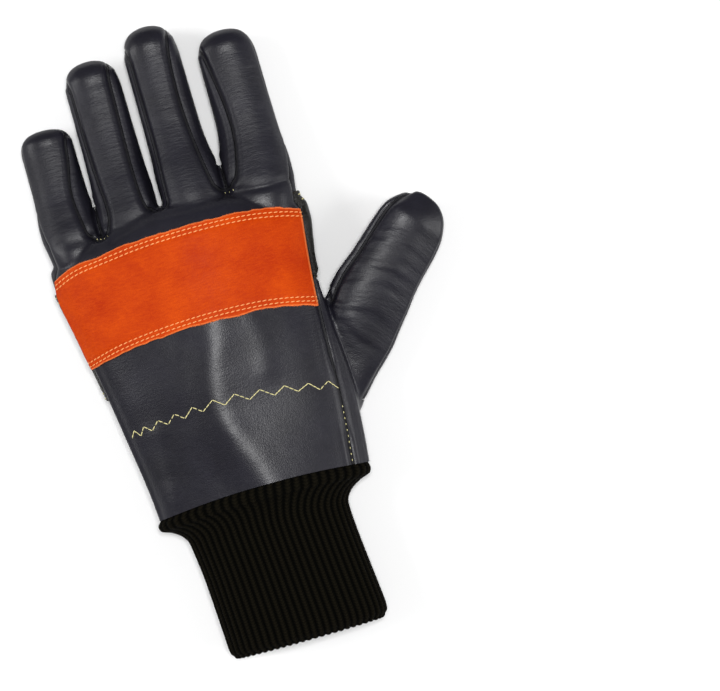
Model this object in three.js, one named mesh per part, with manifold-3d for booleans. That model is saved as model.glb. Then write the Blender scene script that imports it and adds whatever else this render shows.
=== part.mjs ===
// A left-hand forestry work glove of sewn leather with a rib-knit wrist, lying on its palm.
// Millimetres. +Z is up, +Y runs from the wrist to the fingertips and +X points to the thumb.
// The origin lies on the surface, under the middle of the black palm reinforcement.
import * as THREE from "three";
import { mergeVertices } from "three/addons/utils/BufferGeometryUtils.js";
import Module from "manifold-3d";

const wasm = await Module();
wasm.setup();

// Hides and seams
const leather = 1.6; // thickness of the grey hide
const patchLeather = 1.4; // thickness of the orange band, the palm band and the wrist guard
const knitWall = 2.8; // thickness of the doubled rib knit
const seamGap = 0.3; // clearance between pieces that are sewn together

// Hand
const handLength = 136.5; // wrist hem to the finger crotches
const handHeight = 38; // palm to the crown of the back
const hemArch = 3.5; // how far the wrist hem bows towards the fingers
const knuckleArch = 13; // how far the row of crotches bows towards the fingertips

// Fingers, measured beyond the crotches, with the open gaps between them
const littleFinger = { length: 48, width: 24.8, height: 19 };
const ringFinger = { length: 72.3, width: 26, height: 20.5 };
const middleFinger = { length: 80.3, width: 25.8, height: 21 };
const indexFinger = { length: 69.5, width: 27.2, height: 20.5 };
const littleGap = 2.4;
const ringGap = 3.6;
const indexGap = 6.4;

// Thumb, from its root inside the hand to its tip
const thumbAcross = 68.8;
const thumbAlong = 87.7;
const thumbWidth = 34;
const thumbHeight = 25.5;

// Knit wrist, bands and guard
const cuffLength = 68;
const cuffWidth = 72.5;
const cuffHeight = 30;
const ribCount = 56;
const ribDepth = 0.8;
const guardLength = 66;
const guardWidth = 68;

// The surface under the palm hides is one patch and one seam above the floor
const palmFloor = patchLeather + seamGap;
const knuckleWidth =
  littleFinger.width + littleGap + ringFinger.width + ringGap + middleFinger.width + indexGap + indexFinger.width;
const littleEdge = -0.545 * knuckleWidth; // little finger's outer edge, from the hand's centre line
const bandMiddle = 0.72 * handLength; // middle of the palm reinforcement, from the hem
const palmLength = handLength - knuckleArch; // hem to the end of the hand at its two edges

// Each finger's centre line, placed from the outer edge of the little finger
littleFinger.centre = littleEdge + littleFinger.width / 2;
ringFinger.centre = littleEdge + littleFinger.width + littleGap + ringFinger.width / 2;
middleFinger.centre = ringFinger.centre + (ringFinger.width + middleFinger.width) / 2 + ringGap;
indexFinger.centre = middleFinger.centre + (middleFinger.width + indexFinger.width) / 2 + indexGap;
const fingers = [littleFinger, ringFinger, middleFinger, indexFinger];

// Sections of the hand: along is a share of palmLength, left and right of knuckleWidth, top of handHeight.
// hem and knuckle are the shares of hemArch and knuckleArch by which its middle bows towards the fingers.
const handRows = [
  { along: 0.0, left: -0.41, right: 0.434, top: 0.94, hem: 1, knuckle: 0 },
  { along: 0.112, left: -0.419, right: 0.446, top: 0.95, hem: 0.6, knuckle: 0 },
  { along: 0.292, left: -0.443, right: 0.457, top: 0.97, hem: 0, knuckle: 0 },
  { along: 0.472, left: -0.468, right: 0.45, top: 1.0, hem: 0, knuckle: 0 },
  { along: 0.629, left: -0.495, right: 0.436, top: 1.0, hem: 0, knuckle: 0 },
  { along: 0.742, left: -0.516, right: 0.434, top: 0.98, hem: 0, knuckle: 0.15 },
  { along: 0.843, left: -0.538, right: 0.448, top: 0.95, hem: 0, knuckle: 0.4 },
  { along: 0.921, left: -0.552, right: 0.462, top: 0.88, hem: 0, knuckle: 0.65 },
  { along: 0.966, left: -0.553, right: 0.462, top: 0.77, hem: 0, knuckle: 0.85 },
  { along: 0.989, left: -0.545, right: 0.455, top: 0.64, hem: 0, knuckle: 0.95 },
  { along: 1.0, left: -0.52, right: 0.43, top: 0.4, hem: 0, knuckle: 1 },
];

// Sections of a finger: along is a share of its length, negative inside the hand, width and height of its own,
// raised is 1 where it stands over the palm band, and lift is the tip's rise as a share of its height
const fingerRows = [
  { along: -0.3, width: 0.88, height: 1.44, raised: 1, lift: 0 },
  { along: -0.14, width: 0.97, height: 1.4, raised: 1, lift: 0 },
  { along: -0.02, width: 1.05, height: 1.33, raised: 0, lift: 0 },
  { along: 0.12, width: 1.06, height: 1.22, raised: 0, lift: 0 },
  { along: 0.3, width: 1.01, height: 1.1, raised: 0, lift: 0 },
  { along: 0.56, width: 0.98, height: 1.02, raised: 0, lift: 0 },
  { along: 0.81, width: 0.96, height: 0.97, raised: 0, lift: 0.01 },
  { along: 0.915, width: 0.83, height: 0.84, raised: 0, lift: 0.07 },
  { along: 0.972, width: 0.58, height: 0.6, raised: 0, lift: 0.2 },
  { along: 1.0, width: 0.24, height: 0.28, raised: 0, lift: 0.36 },
];

// Sections of the thumb: across and along are shares of thumbAcross and thumbAlong from its root
const thumbRows = [
  { across: 0.0, along: 0.0, width: 0.5, height: 0.55, raised: 1, lift: 0 },
  { across: 0.16, along: 0.245, width: 0.82, height: 0.78, raised: 1, lift: 0 },
  { across: 0.313, along: 0.439, width: 1.06, height: 0.92, raised: 0, lift: 0 },
  { across: 0.451, along: 0.582, width: 1.09, height: 0.98, raised: 0, lift: 0 },
  { across: 0.61, along: 0.707, width: 1.0, height: 1.0, raised: 0, lift: 0 },
  { across: 0.763, along: 0.821, width: 0.97, height: 0.98, raised: 0, lift: 0 },
  { across: 0.85, along: 0.887, width: 0.92, height: 0.92, raised: 0, lift: 0.03 },
  { across: 0.916, along: 0.935, width: 0.76, height: 0.77, raised: 0, lift: 0.1 },
  { across: 0.967, along: 0.975, width: 0.5, height: 0.52, raised: 0, lift: 0.22 },
  { across: 1.0, along: 1.0, width: 0.21, height: 0.22, raised: 0, lift: 0.37 },
];
const thumbRoot = new THREE.Vector2(0.343 * knuckleWidth, 0.147 * handLength);

// Sections of the knit wrist: along is a share of cuffLength down from the hem. roll is 1 where the knit
// keeps the width of the hem and 0 where it keeps the width of the wrist, bulge stands out beyond it, and
// shift moves the section towards the thumb. Both are shares of cuffWidth.
const cuffRows = [
  { along: 0.0, roll: 1, bulge: -0.01, shift: 0.0, hem: 1 },
  { along: 0.035, roll: 1, bulge: 0.01, shift: 0.0, hem: 0.95 },
  { along: 0.065, roll: 0.94, bulge: 0.01, shift: 0.0, hem: 0.85 },
  { along: 0.1, roll: 0.6, bulge: 0, shift: -0.01, hem: 0.7 },
  { along: 0.15, roll: 0.24, bulge: 0, shift: -0.022, hem: 0.5 },
  { along: 0.22, roll: 0.06, bulge: 0, shift: -0.027, hem: 0.3 },
  { along: 0.5, roll: 0, bulge: 0.003, shift: -0.006, hem: 0 },
  { along: 0.94, roll: 0, bulge: 0.01, shift: 0.022, hem: 0 },
  { along: 1.0, roll: 0, bulge: -0.03, shift: 0.02, hem: 0 },
];

// Seams that part the back of each finger from its front: along is a share of the finger's length, and
// left and right of half its width. Past 1 the seam has left the top and runs along the finger's side.
const offFinger = 1.3;
littleFinger.seam = [
  { along: -0.08, left: -offFinger, right: 0.66 },
  { along: 0.04, left: -offFinger, right: 0.6 },
  { along: 0.22, left: -offFinger, right: 0.48 },
  { along: 0.4, left: -offFinger, right: 0.47 },
  { along: 0.66, left: -offFinger, right: 0.7 },
  { along: 0.84, left: -offFinger, right: 0.76 },
  { along: 0.97, left: -offFinger, right: 1.0 },
];
ringFinger.seam = [
  { along: 0.0, left: -0.66, right: 0.72 },
  { along: 0.09, left: -0.64, right: 0.62 },
  { along: 0.24, left: -0.73, right: 0.58 },
  { along: 0.46, left: -0.8, right: 0.59 },
  { along: 0.7, left: -0.8, right: 0.63 },
  { along: 0.88, left: -0.8, right: 0.66 },
  { along: 0.98, left: -1.1, right: 0.8 },
];
middleFinger.seam = [
  { along: 0.03, left: -0.84, right: 0.9 },
  { along: 0.12, left: -0.82, right: 0.8 },
  { along: 0.3, left: -0.79, right: 0.64 },
  { along: 0.5, left: -0.8, right: 0.54 },
  { along: 0.68, left: -0.81, right: 0.55 },
  { along: 0.86, left: -0.81, right: 0.66 },
  { along: 0.98, left: -1.1, right: 0.85 },
];
indexFinger.seam = [
  { along: 0.04, left: -0.82, right: offFinger },
  { along: 0.12, left: -0.67, right: offFinger },
  { along: 0.3, left: -0.5, right: offFinger },
  { along: 0.5, left: -0.52, right: offFinger },
  { along: 0.72, left: -0.68, right: offFinger },
  { along: 0.88, left: -0.8, right: offFinger },
  { along: 0.97, left: -1.05, right: offFinger },
];
// The seams of two neighbours meet in a loop at their crotch. depth is its distance below the end of the
// hand there, and half its half width, both as shares of the ring finger's width.
const crotchLoops = [
  { depth: 0.115, half: 0.13 },
  { depth: 0.092, half: 0.16 },
  { depth: -0.075, half: 0.14 },
];

// The seam between the back and the thumb side of the hand: along is a share of palmLength, and inset is
// the distance in from the edge of the hand as a share of knuckleWidth
const thumbSideSeam = [
  { along: -0.09, inset: 0.062 },
  { along: 0.056, inset: 0.062 },
  { along: 0.28, inset: 0.056 },
  { along: 0.472, inset: 0.043 },
  { along: 0.652, inset: 0.024 },
  { along: 0.786, inset: 0.022 },
  { along: 0.966, inset: 0.022 },
];

// Outlines of the bands and of the guard: across is a share of knuckleWidth, along of handLength
const orangeLower = [
  { across: -0.56, along: 0.527 },
  { across: -0.48, along: 0.54 },
  { across: -0.35, along: 0.567 },
  { across: -0.1, along: 0.584 },
  { across: 0.17, along: 0.58 },
  { across: 0.33, along: 0.56 },
  { across: 0.5, along: 0.52 },
];
const orangeUpper = [
  { across: 0.5, along: 0.85 },
  { across: 0.38, along: 0.884 },
  { across: 0.2, along: 0.908 },
  { across: -0.15, along: 0.911 },
  { across: -0.34, along: 0.893 },
  { across: -0.46, along: 0.884 },
  { across: -0.56, along: 0.85 },
];
const palmBandCorners = [
  { across: -0.62, along: 0.4 },
  { across: -0.45, along: 0.43 },
  { across: -0.27, along: 0.51 },
  { across: 0.39, along: 0.605 },
  { across: 0.56, along: 0.64 },
  { across: 0.56, along: 0.9 },
  { across: -0.22, along: 0.885 },
  { across: -0.62, along: 0.8 },
];
// across is a share of guardWidth from the guard's little-finger edge, along of guardLength down from its top
const guardRows = [
  { across: 0.0, along: 0.0 },
  { across: -0.01, along: 0.2 },
  { across: -0.02, along: 0.48 },
  { across: 0.0, along: 0.68 },
  { across: 0.07, along: 0.86 },
  { across: 0.18, along: 0.96 },
  { across: 0.33, along: 1.0 },
  { across: 0.46, along: 0.96 },
  { across: 0.58, along: 0.84 },
  { across: 0.68, along: 0.68 },
  { across: 0.77, along: 0.5 },
  { across: 0.87, along: 0.3 },
  { across: 1.0, along: 0.14 },
  { across: 0.86, along: 0.07 },
];
const guardEdge = -0.26 * knuckleWidth;
const guardTop = 0.065 * handLength;

// Solids from lofts

const power = (value, exponent) => Math.sign(value) * Math.abs(value) ** exponent;

// A rounded ring about centre: across is its width direction, halfWide and halfHigh its half sizes.
// No point of it lies below floor, so it is flat where it rests.
function ringAt({ centre, across, halfWide, halfHigh, floor, sides, bow = 0, flutes = 0 }, squareness) {
  return Array.from({ length: sides }, (_, i) => {
    const turn = (2 * Math.PI * i) / sides;
    const out = flutes && i % 2 ? -flutes : 0;
    const wide = power(Math.cos(turn), 2 / squareness);
    const high = power(Math.sin(turn), 2 / squareness);
    return new THREE.Vector3(
      centre.x + across.x * wide * (halfWide + out),
      centre.y + across.y * wide * (halfWide + out) + bow * (1 - wide * wide),
      Math.max(floor, centre.z + high * (halfHigh + out)),
    );
  });
}

// A closed solid through rings that all have the same even number of points. Each end is closed by strips
// between a ring's upper and lower half, so that it follows the ring's bow.
function loft(rings) {
  const sides = rings[0].length;
  const corners = rings.flat().flatMap((p) => [p.x, p.y, p.z]);
  const faces = [];
  rings.slice(1).forEach((_, r) => {
    for (let i = 0; i < sides; i++) {
      const a = r * sides + i;
      const b = r * sides + ((i + 1) % sides);
      faces.push(a, a + sides, b, b, a + sides, b + sides);
    }
  });
  const half = sides / 2;
  [0, (rings.length - 1) * sides].forEach((first) => {
    for (let i = 0; i < half; i++) {
      const upper = [first + i, first + i + 1];
      const lower = [first + ((sides - i) % sides), first + sides - i - 1];
      const strip = [];
      if (i < half - 1) strip.push([upper[0], upper[1], lower[1]]);
      if (i > 0) strip.push([upper[0], lower[1], lower[0]]);
      strip.forEach((face) => faces.push(...(first ? face.reverse() : face)));
    }
  });
  return new wasm.Manifold(
    new wasm.Mesh({
      numProp: 3,
      vertProperties: new Float32Array(corners),
      triVerts: new Uint32Array(faces),
    }),
  );
}

// A three.js geometry as a solid
function solidOf(geometry) {
  const bare = new THREE.BufferGeometry();
  bare.setAttribute("position", geometry.getAttribute("position"));
  if (geometry.index) bare.setIndex(geometry.index);
  const merged = mergeVertices(bare, 1e-4);
  return new wasm.Manifold(
    new wasm.Mesh({
      numProp: 3,
      vertProperties: merged.attributes.position.array,
      triVerts: new Uint32Array(merged.index.array),
    }),
  );
}

// An upright prism over an outline of Vector2 points
function prism(outline, bottom, top) {
  const geometry = new THREE.ExtrudeGeometry(new THREE.Shape(outline), {
    depth: top - bottom,
    bevelEnabled: false,
  });
  return solidOf(geometry.translate(0, 0, bottom));
}

// A prism along X over a profile of (y, z) points
function profileAcross(profile, halfWide) {
  const geometry = new THREE.ExtrudeGeometry(new THREE.Shape(profile), {
    depth: 2 * halfWide,
    bevelEnabled: false,
  });
  const axes = new THREE.Matrix4().makeBasis(
    new THREE.Vector3(0, 1, 0),
    new THREE.Vector3(0, 0, 1),
    new THREE.Vector3(1, 0, 0),
  );
  return solidOf(geometry.applyMatrix4(axes).translate(-halfWide, 0, 0));
}

// The outline moved outwards by distance, for an outline that runs anticlockwise
function grown(outline, distance) {
  return outline.map((point, i) => {
    const before = outline.at(i - 1);
    const after = outline[(i + 1) % outline.length];
    const normals = [
      [before, point],
      [point, after],
    ].map(([a, b]) => new THREE.Vector2(b.y - a.y, a.x - b.x).normalize());
    const mean = normals[0].clone().add(normals[1]).normalize();
    return point.clone().addScaledVector(mean, distance / Math.max(0.5, mean.dot(normals[0])));
  });
}

const between = (low, high, share) => low + (high - low) * share;

// The value of a column at a place along a table, between its two nearest rows
function valueAt(rows, along, column) {
  const next = rows.findIndex((row) => row.along >= along);
  if (next < 1) return (next ? rows.at(-1) : rows[0])[column];
  const [a, b] = [rows[next - 1], rows[next]];
  return between(a[column], b[column], (along - a.along) / (b.along - a.along));
}

// The hand, the fingers and the thumb. grow moves the whole surface out, or in where it is negative.
const handSquareness = 2.5;
const fingerSquareness = 2.25;
const handSides = 28;
const fingerSides = 12;
const endOverlap = 2.5 * leather; // how far a hollow runs out past an open end
const leastHalf = leather / 4; // half size of a hollow's last section
const tuck = seamGap / 3; // how far the roots of the fingers and the thumb lie inside the palm's own surface
const flatShare = 0.04; // of a section's height, by which it dips under its floor and so is flat where it rests

function handLoft(grow) {
  const rows = [...handRows];
  const rings = rows.map((row) => {
    const halfWide = ((row.right - row.left) * knuckleWidth) / 2 + grow;
    const top = palmFloor + (handHeight - palmFloor) * row.top + grow;
    const bottom = palmFloor - grow;
    const tip = row.knuckle * grow;
    const sag = flatShare * handHeight;
    return ringAt(
      {
        centre: new THREE.Vector3(
          ((row.right + row.left) * knuckleWidth) / 2,
          row.along * palmLength + tip,
          (top + bottom - sag) / 2,
        ),
        across: new THREE.Vector2(1, 0),
        halfWide,
        halfHigh: (top - bottom + sag) / 2,
        floor: bottom,
        sides: handSides,
        bow: row.hem * hemArch + row.knuckle * knuckleArch,
      },
      handSquareness,
    );
  });
  if (grow < 0) rings.unshift(rings[0].map((p) => p.clone().setY(p.y - endOverlap)));
  return loft(rings);
}

function fingerLoft(finger, grow) {
  const reach = finger.length + grow;
  const rings = fingerRows.map((row) => {
    const raised = row.raised * (palmFloor + tuck);
    const bottom = raised - grow + row.lift * finger.height;
    const halfHigh = Math.max(leastHalf, (row.height * finger.height - raised) / 2 + grow);
    const sag = row.lift ? 0 : flatShare * finger.height;
    return ringAt(
      {
        centre: new THREE.Vector3(
          finger.centre,
          handLength + row.along * (row.along > 0 ? reach : finger.length),
          bottom + halfHigh - sag,
        ),
        across: new THREE.Vector2(1, 0),
        halfWide: Math.max(leastHalf, (row.width * finger.width) / 2 + grow),
        halfHigh,
        floor: raised - grow,
        sides: fingerSides,
      },
      fingerSquareness,
    );
  });
  return loft(rings);
}

const thumbPoint = (row) =>
  new THREE.Vector2(thumbRoot.x + row.across * thumbAcross, thumbRoot.y + row.along * thumbAlong);

function thumbLoft(grow) {
  const rings = thumbRows.map((row, i) => {
    const here = thumbPoint(row);
    const before = thumbPoint(thumbRows[Math.max(0, i - 1)]);
    const after = thumbPoint(thumbRows[Math.min(thumbRows.length - 1, i + 1)]);
    const heading = after.sub(before).normalize();
    const raised = row.raised * (palmFloor + tuck);
    const bottom = raised - grow + row.lift * thumbHeight;
    const halfHigh = Math.max(leastHalf, (row.height * thumbHeight - raised) / 2 + grow);
    const sag = row.lift ? 0 : flatShare * thumbHeight;
    here.addScaledVector(heading, row.lift > 0 ? grow : 0);
    return ringAt(
      {
        centre: new THREE.Vector3(here.x, here.y, bottom + halfHigh - sag),
        across: new THREE.Vector2(heading.y, -heading.x),
        halfWide: Math.max(leastHalf, (row.width * thumbWidth) / 2 + grow),
        halfHigh,
        floor: raised - grow,
        sides: fingerSides,
      },
      fingerSquareness,
    );
  });
  return loft(rings);
}

const together = (solids) => solids.reduce((all, one) => all.add(one));

const whole = (grow) =>
  together([handLoft(grow), thumbLoft(grow), ...fingers.map((finger) => fingerLoft(finger, grow))]);
const skin = whole(0);
const shell = skin.subtract(whole(-leather));

// Cutting the shell along its seams
const skyTop = 2 * handHeight; // above everything
const below = -handHeight; // below everything
const farOut = knuckleWidth; // beside everything
const handSeamHeight = 0.5 * handHeight;
const fingerSeamHeight = 0.52 * ringFinger.height;
const thumbSeamHeight = 0.47 * thumbHeight;
const fingerTop = handLength + Math.max(...fingers.map((finger) => finger.length));

// How far the hand reaches from the hem at a place across it
function handEnd(x) {
  const { left, right } = handRows.at(-1);
  const share = (2 * x - (left + right) * knuckleWidth) / ((right - left) * knuckleWidth);
  return handLength - knuckleArch * share * share;
}

// The outline of the back panel, anticlockwise from the hem's little-finger side
function backOutline() {
  const handRight = (along) => valueAt(handRows, along, "right") * knuckleWidth;
  const seamPoint = (row) =>
    new THREE.Vector2(handRight(row.along) - row.inset * knuckleWidth, row.along * palmLength);
  const seam = thumbSideSeam.map(seamPoint);
  const outline = [new THREE.Vector2(-farOut, seam[0].y), ...seam];
  const besideIndex = indexFinger.centre + indexFinger.width;
  outline.push(new THREE.Vector2(besideIndex, seam.at(-1).y + 2 * seamGap));
  [...fingers].reverse().forEach((finger, i) => {
    const place = (row, side) =>
      new THREE.Vector2(
        finger.centre + (row[side] * finger.width) / 2,
        handLength + row.along * finger.length,
      );
    const outer = i === 0;
    const last = i === fingers.length - 1;
    const tip = handLength + finger.length + 2 * leather;
    if (outer) outline.push(new THREE.Vector2(besideIndex, tip));
    else outline.push(...finger.seam.map((row) => place(row, "right")));
    const [right, left] = ["right", "left"].map((side) => place(finger.seam.at(-1), side).x);
    if (!outer) outline.push(new THREE.Vector2(right, tip));
    outline.push(new THREE.Vector2(last ? -farOut : left, tip));
    if (last) return;
    outline.push(...[...finger.seam].reverse().map((row) => place(row, "left")));
    const neighbour = fingers[fingers.length - 2 - i];
    const crotch = crotchLoops[crotchLoops.length - 1 - i];
    const middle = (finger.centre - finger.width / 2 + neighbour.centre + neighbour.width / 2) / 2;
    const low = handEnd(middle) - crotch.depth * ringFinger.width;
    const half = crotch.half * ringFinger.width;
    [0.95, 0.6, 0, -0.6, -0.95].forEach((side) => {
      const rise = 1 - Math.sqrt(1 - side * side);
      outline.push(new THREE.Vector2(middle + side * half, low + rise * half));
    });
  });
  return outline;
}

// The back is what lies over the outline, above a seam that drops from the hand to the fingers
function backCutter(grow) {
  const profile = [
    [-handLength, handSeamHeight - grow],
    [0.97 * handLength, handSeamHeight - grow],
    [1.1 * handLength, fingerSeamHeight - grow],
    [2 * fingerTop, fingerSeamHeight - grow],
    [2 * fingerTop, skyTop],
    [-handLength, skyTop],
  ].map(([y, z]) => new THREE.Vector2(y, z));
  return prism(grown(backOutline(), grow), below, skyTop).intersect(profileAcross(profile, 2 * farOut));
}

// The front of the two middle fingers is one hide, sewn to the palm below them
const crotchMiddles = fingers.slice(1).map((finger, i) => {
  const inner = fingers[i];
  return (inner.centre + inner.width / 2 + finger.centre - finger.width / 2) / 2;
});
function fingerPanelCutter(grow) {
  const corners = [
    [crotchMiddles[0], handEnd(crotchMiddles[0]) - 0.285 * ringFinger.width],
    [crotchMiddles[2], handEnd(crotchMiddles[2]) - 0.21 * ringFinger.width],
    [crotchMiddles[2], 2 * fingerTop],
    [crotchMiddles[0], 2 * fingerTop],
  ].map(([x, y]) => new THREE.Vector2(x, y));
  return prism(grown(corners, grow), below, skyTop);
}

// The back of the thumb runs on down the side of the hand and round under the hem
const thumbInset = 0.16; // of the thumb's half width, from its edge towards the index finger
const thumbSeamStart = 0.64; // of handLength, where the palm band ends on the thumb side
const thumbHemCorner = [
  { across: 0.6, along: 0.2 },
  { across: 0.405, along: 0.2 },
  { across: 0.31, along: 0.148 },
  { across: 0.257, along: 0.084 },
  { across: 0.245, along: 0.03 },
  { across: 0.245, along: -0.1 },
  { across: 0.6, along: -0.1 },
];
function thumbCutter(grow) {
  const first = 3; // the first section that stands clear of the hand
  const inner = thumbRows.slice(first, -1).map((row, i) => {
    const here = thumbPoint(row);
    const heading = thumbPoint(thumbRows[first + i + 1])
      .sub(thumbPoint(thumbRows[first + i - 1]))
      .normalize();
    const side = new THREE.Vector2(-heading.y, heading.x);
    const tipward = i / (thumbRows.length - first - 2);
    const out = ((row.width * thumbWidth) / 2) * (1 - thumbInset + 0.5 * tipward ** 6);
    return here.addScaledVector(side, out);
  });
  const crotchX = valueAt(handRows, 0.67, "right") * knuckleWidth;
  const upper = [
    new THREE.Vector2(-0.2 * knuckleWidth, -0.3 * handLength),
    new THREE.Vector2(2 * farOut, -0.3 * handLength),
    new THREE.Vector2(2 * farOut, 1.5 * handLength),
    inner.at(-1).clone().add(new THREE.Vector2(thumbWidth / 4, thumbWidth)),
    ...[...inner].reverse(),
    new THREE.Vector2(crotchX + 0.03 * knuckleWidth, thumbSeamStart * handLength),
    new THREE.Vector2(-0.2 * knuckleWidth, thumbSeamStart * handLength),
  ];
  const lower = thumbHemCorner.map(
    (row) => new THREE.Vector2(row.across * knuckleWidth, row.along * handLength),
  );
  return prism(grown(upper, grow), thumbSeamHeight - grow, skyTop).add(
    prism(grown(lower, grow), below, thumbSeamHeight + 1),
  );
}

const backPiece = shell.intersect(backCutter(0));
const front = shell.subtract(backCutter(seamGap));
const fingerPiece = front.intersect(fingerPanelCutter(0));
const palmAndThumb = front.subtract(fingerPanelCutter(seamGap));
const thumbPiece = palmAndThumb.intersect(thumbCutter(0));
const palmPiece = palmAndThumb.subtract(thumbCutter(seamGap));

// Bands of a second hide, laid on the hand
const outlineOf = (rows) =>
  rows.map((row) => new THREE.Vector2(row.across * knuckleWidth, row.along * handLength));
const overHand = handLoft(palmFloor).subtract(whole(seamGap));
const palmBand = overHand
  .intersect(prism(outlineOf(palmBandCorners), below, skyTop))
  .subtract(backCutter(seamGap));
const orangeBand = overHand
  .intersect(prism(outlineOf([...orangeLower, ...orangeUpper]), 0.58 * handHeight, skyTop))
  .intersect(prism(grown(backOutline(), -seamGap), below, skyTop));

// The knit wrist
const hemLeft = handRows[0].left * knuckleWidth;
const hemRight = handRows[0].right * knuckleWidth;
const hemTop = palmFloor + (handHeight - palmFloor) * handRows[0].top;
function cuffLoft(grow, ribbed) {
  const rings = cuffRows.map((row) => {
    const bulge = row.bulge * cuffWidth;
    const halfWide = between(cuffWidth, hemRight - hemLeft, row.roll) / 2 + bulge + grow;
    const top = between(cuffHeight, hemTop, row.roll) + bulge + grow;
    const bottom = palmFloor - grow;
    const sag = flatShare * handHeight;
    return ringAt(
      {
        centre: new THREE.Vector3(
          (hemLeft + hemRight) / 2 + row.shift * cuffWidth,
          -seamGap - row.along * cuffLength,
          (top + bottom - sag) / 2,
        ),
        across: new THREE.Vector2(-1, 0),
        halfWide,
        halfHigh: (top - bottom + sag) / 2,
        floor: bottom,
        sides: ribbed ? 2 * ribCount : handSides,
        bow: row.hem * hemArch,
        flutes: ribbed ? ribDepth : 0,
      },
      handSquareness,
    );
  });
  if (!ribbed) {
    rings.unshift(rings[0].map((p) => p.clone().setY(p.y + endOverlap)));
    rings.push(rings.at(-1).map((p) => p.clone().setY(p.y - endOverlap)));
  }
  return loft(rings);
}
const cuffPiece = cuffLoft(0, true).subtract(cuffLoft(-knitWall, false));

// The wrist guard, a flap that is sewn on along its top and lies round the underside of the wrist below
const guardOutline = guardRows.map(
  (row) => new THREE.Vector2(guardEdge + row.across * guardWidth, guardTop - row.along * guardLength),
);
const wristWith = (grow) => handLoft(grow).add(cuffLoft(grow, false));
const guardPiece = wristWith(palmFloor)
  .subtract(wristWith(seamGap).add(thumbLoft(seamGap)))
  .intersect(prism([...guardOutline].reverse(), below, 0.4 * cuffHeight));

// The assembly
const hide = { color: 0x3f3f48, roughness: 0.45, metalness: 0 };
const materials = {
  grey_leather: new THREE.MeshStandardMaterial(hide),
  orange_leather: new THREE.MeshStandardMaterial({ color: 0xdc4a10, roughness: 0.5, metalness: 0 }),
  black_leather: new THREE.MeshStandardMaterial({ color: 0x1d1a14, roughness: 0.5, metalness: 0 }),
  black_knit: new THREE.MeshStandardMaterial({ color: 0x14120c, roughness: 0.95, metalness: 0 }),
};

function meshOf(name, solid, material) {
  const { vertProperties, triVerts, numProp } = solid.getMesh();
  const corners = new Float32Array((vertProperties.length / numProp) * 3);
  for (let i = 0; i < corners.length / 3; i++)
    corners.set(vertProperties.subarray(i * numProp, i * numProp + 3), 3 * i);
  const geometry = new THREE.BufferGeometry();
  geometry.setAttribute("position", new THREE.BufferAttribute(corners, 3));
  geometry.setIndex(new THREE.BufferAttribute(triVerts, 1));
  geometry.computeVertexNormals();
  const mesh = new THREE.Mesh(geometry, materials[material]);
  mesh.name = name;
  return mesh;
}

const glove = new THREE.Group();
glove.add(
  meshOf("back_panel", backPiece, "grey_leather"),
  meshOf("palm_panel", palmPiece, "grey_leather"),
  meshOf("finger_panel", fingerPiece, "grey_leather"),
  meshOf("thumb_panel", thumbPiece, "grey_leather"),
  meshOf("orange_band", orangeBand, "orange_leather"),
  meshOf("palm_reinforcement", palmBand, "black_leather"),
  meshOf("wrist_guard", guardPiece, "grey_leather"),
  meshOf("knit_cuff", cuffPiece, "black_knit"),
);
glove.position.set(0, -bandMiddle, 0);

export default glove;
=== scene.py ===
import math

import bpy
import numpy as np
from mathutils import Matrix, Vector
from mathutils.bvhtree import BVHTree
from mathutils.kdtree import KDTree


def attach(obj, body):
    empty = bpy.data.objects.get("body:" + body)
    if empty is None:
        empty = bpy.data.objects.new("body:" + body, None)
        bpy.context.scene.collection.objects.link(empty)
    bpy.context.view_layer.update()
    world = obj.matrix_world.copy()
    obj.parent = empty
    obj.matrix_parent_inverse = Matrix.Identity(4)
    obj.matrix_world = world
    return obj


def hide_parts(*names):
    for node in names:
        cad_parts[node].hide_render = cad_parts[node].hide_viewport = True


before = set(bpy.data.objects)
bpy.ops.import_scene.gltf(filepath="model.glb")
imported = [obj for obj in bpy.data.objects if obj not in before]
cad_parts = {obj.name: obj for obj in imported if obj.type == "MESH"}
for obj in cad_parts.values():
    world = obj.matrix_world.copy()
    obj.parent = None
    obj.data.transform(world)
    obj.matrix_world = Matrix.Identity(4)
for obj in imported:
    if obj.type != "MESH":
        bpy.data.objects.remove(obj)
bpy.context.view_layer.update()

# Sizes are in millimetres, in the part's own frame: +Y to the fingertips, +X to the thumb, +Z up.
mm = 0.001

view = {
    "centre": (60.8, -47.0),     # the middle of the picture, on the floor plan
    "turn": -16,                 # degrees, so that the glove leans to the left
    "lens": 150,
    "distance": 1350,            # above the middle of the hand's height
    "aim": 20,
}

bpy.ops.object.camera_add(
    location=(view["centre"][0] * mm, view["centre"][1] * mm, (view["distance"] + view["aim"]) * mm),
    rotation=(0, 0, math.radians(view["turn"])),
)
camera = bpy.context.object
camera.data.lens = view["lens"]
camera.data.clip_end = 10
bpy.context.scene.camera = camera
bpy.context.scene.view_settings.view_transform = "Standard"
print("camera set")


def selectOnly(*objects):
    bpy.ops.object.select_all(action="DESELECT")
    for obj in objects:
        obj.select_set(True)
    if objects:
        bpy.context.view_layer.objects.active = objects[0]


def added(primitive, **settings):
    selectOnly()
    primitive(**settings)
    return bpy.context.object


def switchMode(mode):
    bpy.ops.object.mode_set(mode=mode)


def turnFacesOut():    # in edit mode, which it ends
    bpy.ops.mesh.select_all(action="SELECT")
    bpy.ops.mesh.normals_make_consistent(inside=False)
    switchMode("OBJECT")


def columns(*values):
    return np.stack(np.broadcast_arrays(*values), axis=1)


def unitLength(vectors):
    return vectors / np.maximum(1e-9, np.linalg.norm(vectors, axis=1))[:, None]


def fromSpot(p, x, y):
    return np.hypot(p[:, 0] - x, p[:, 1] - y)


def readFrom(data, field, size=3, kind=np.float32):
    flat = np.empty(len(data) * size, dtype=kind)
    data.foreach_get(field, flat)
    return flat.reshape(-1, size)


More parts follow.
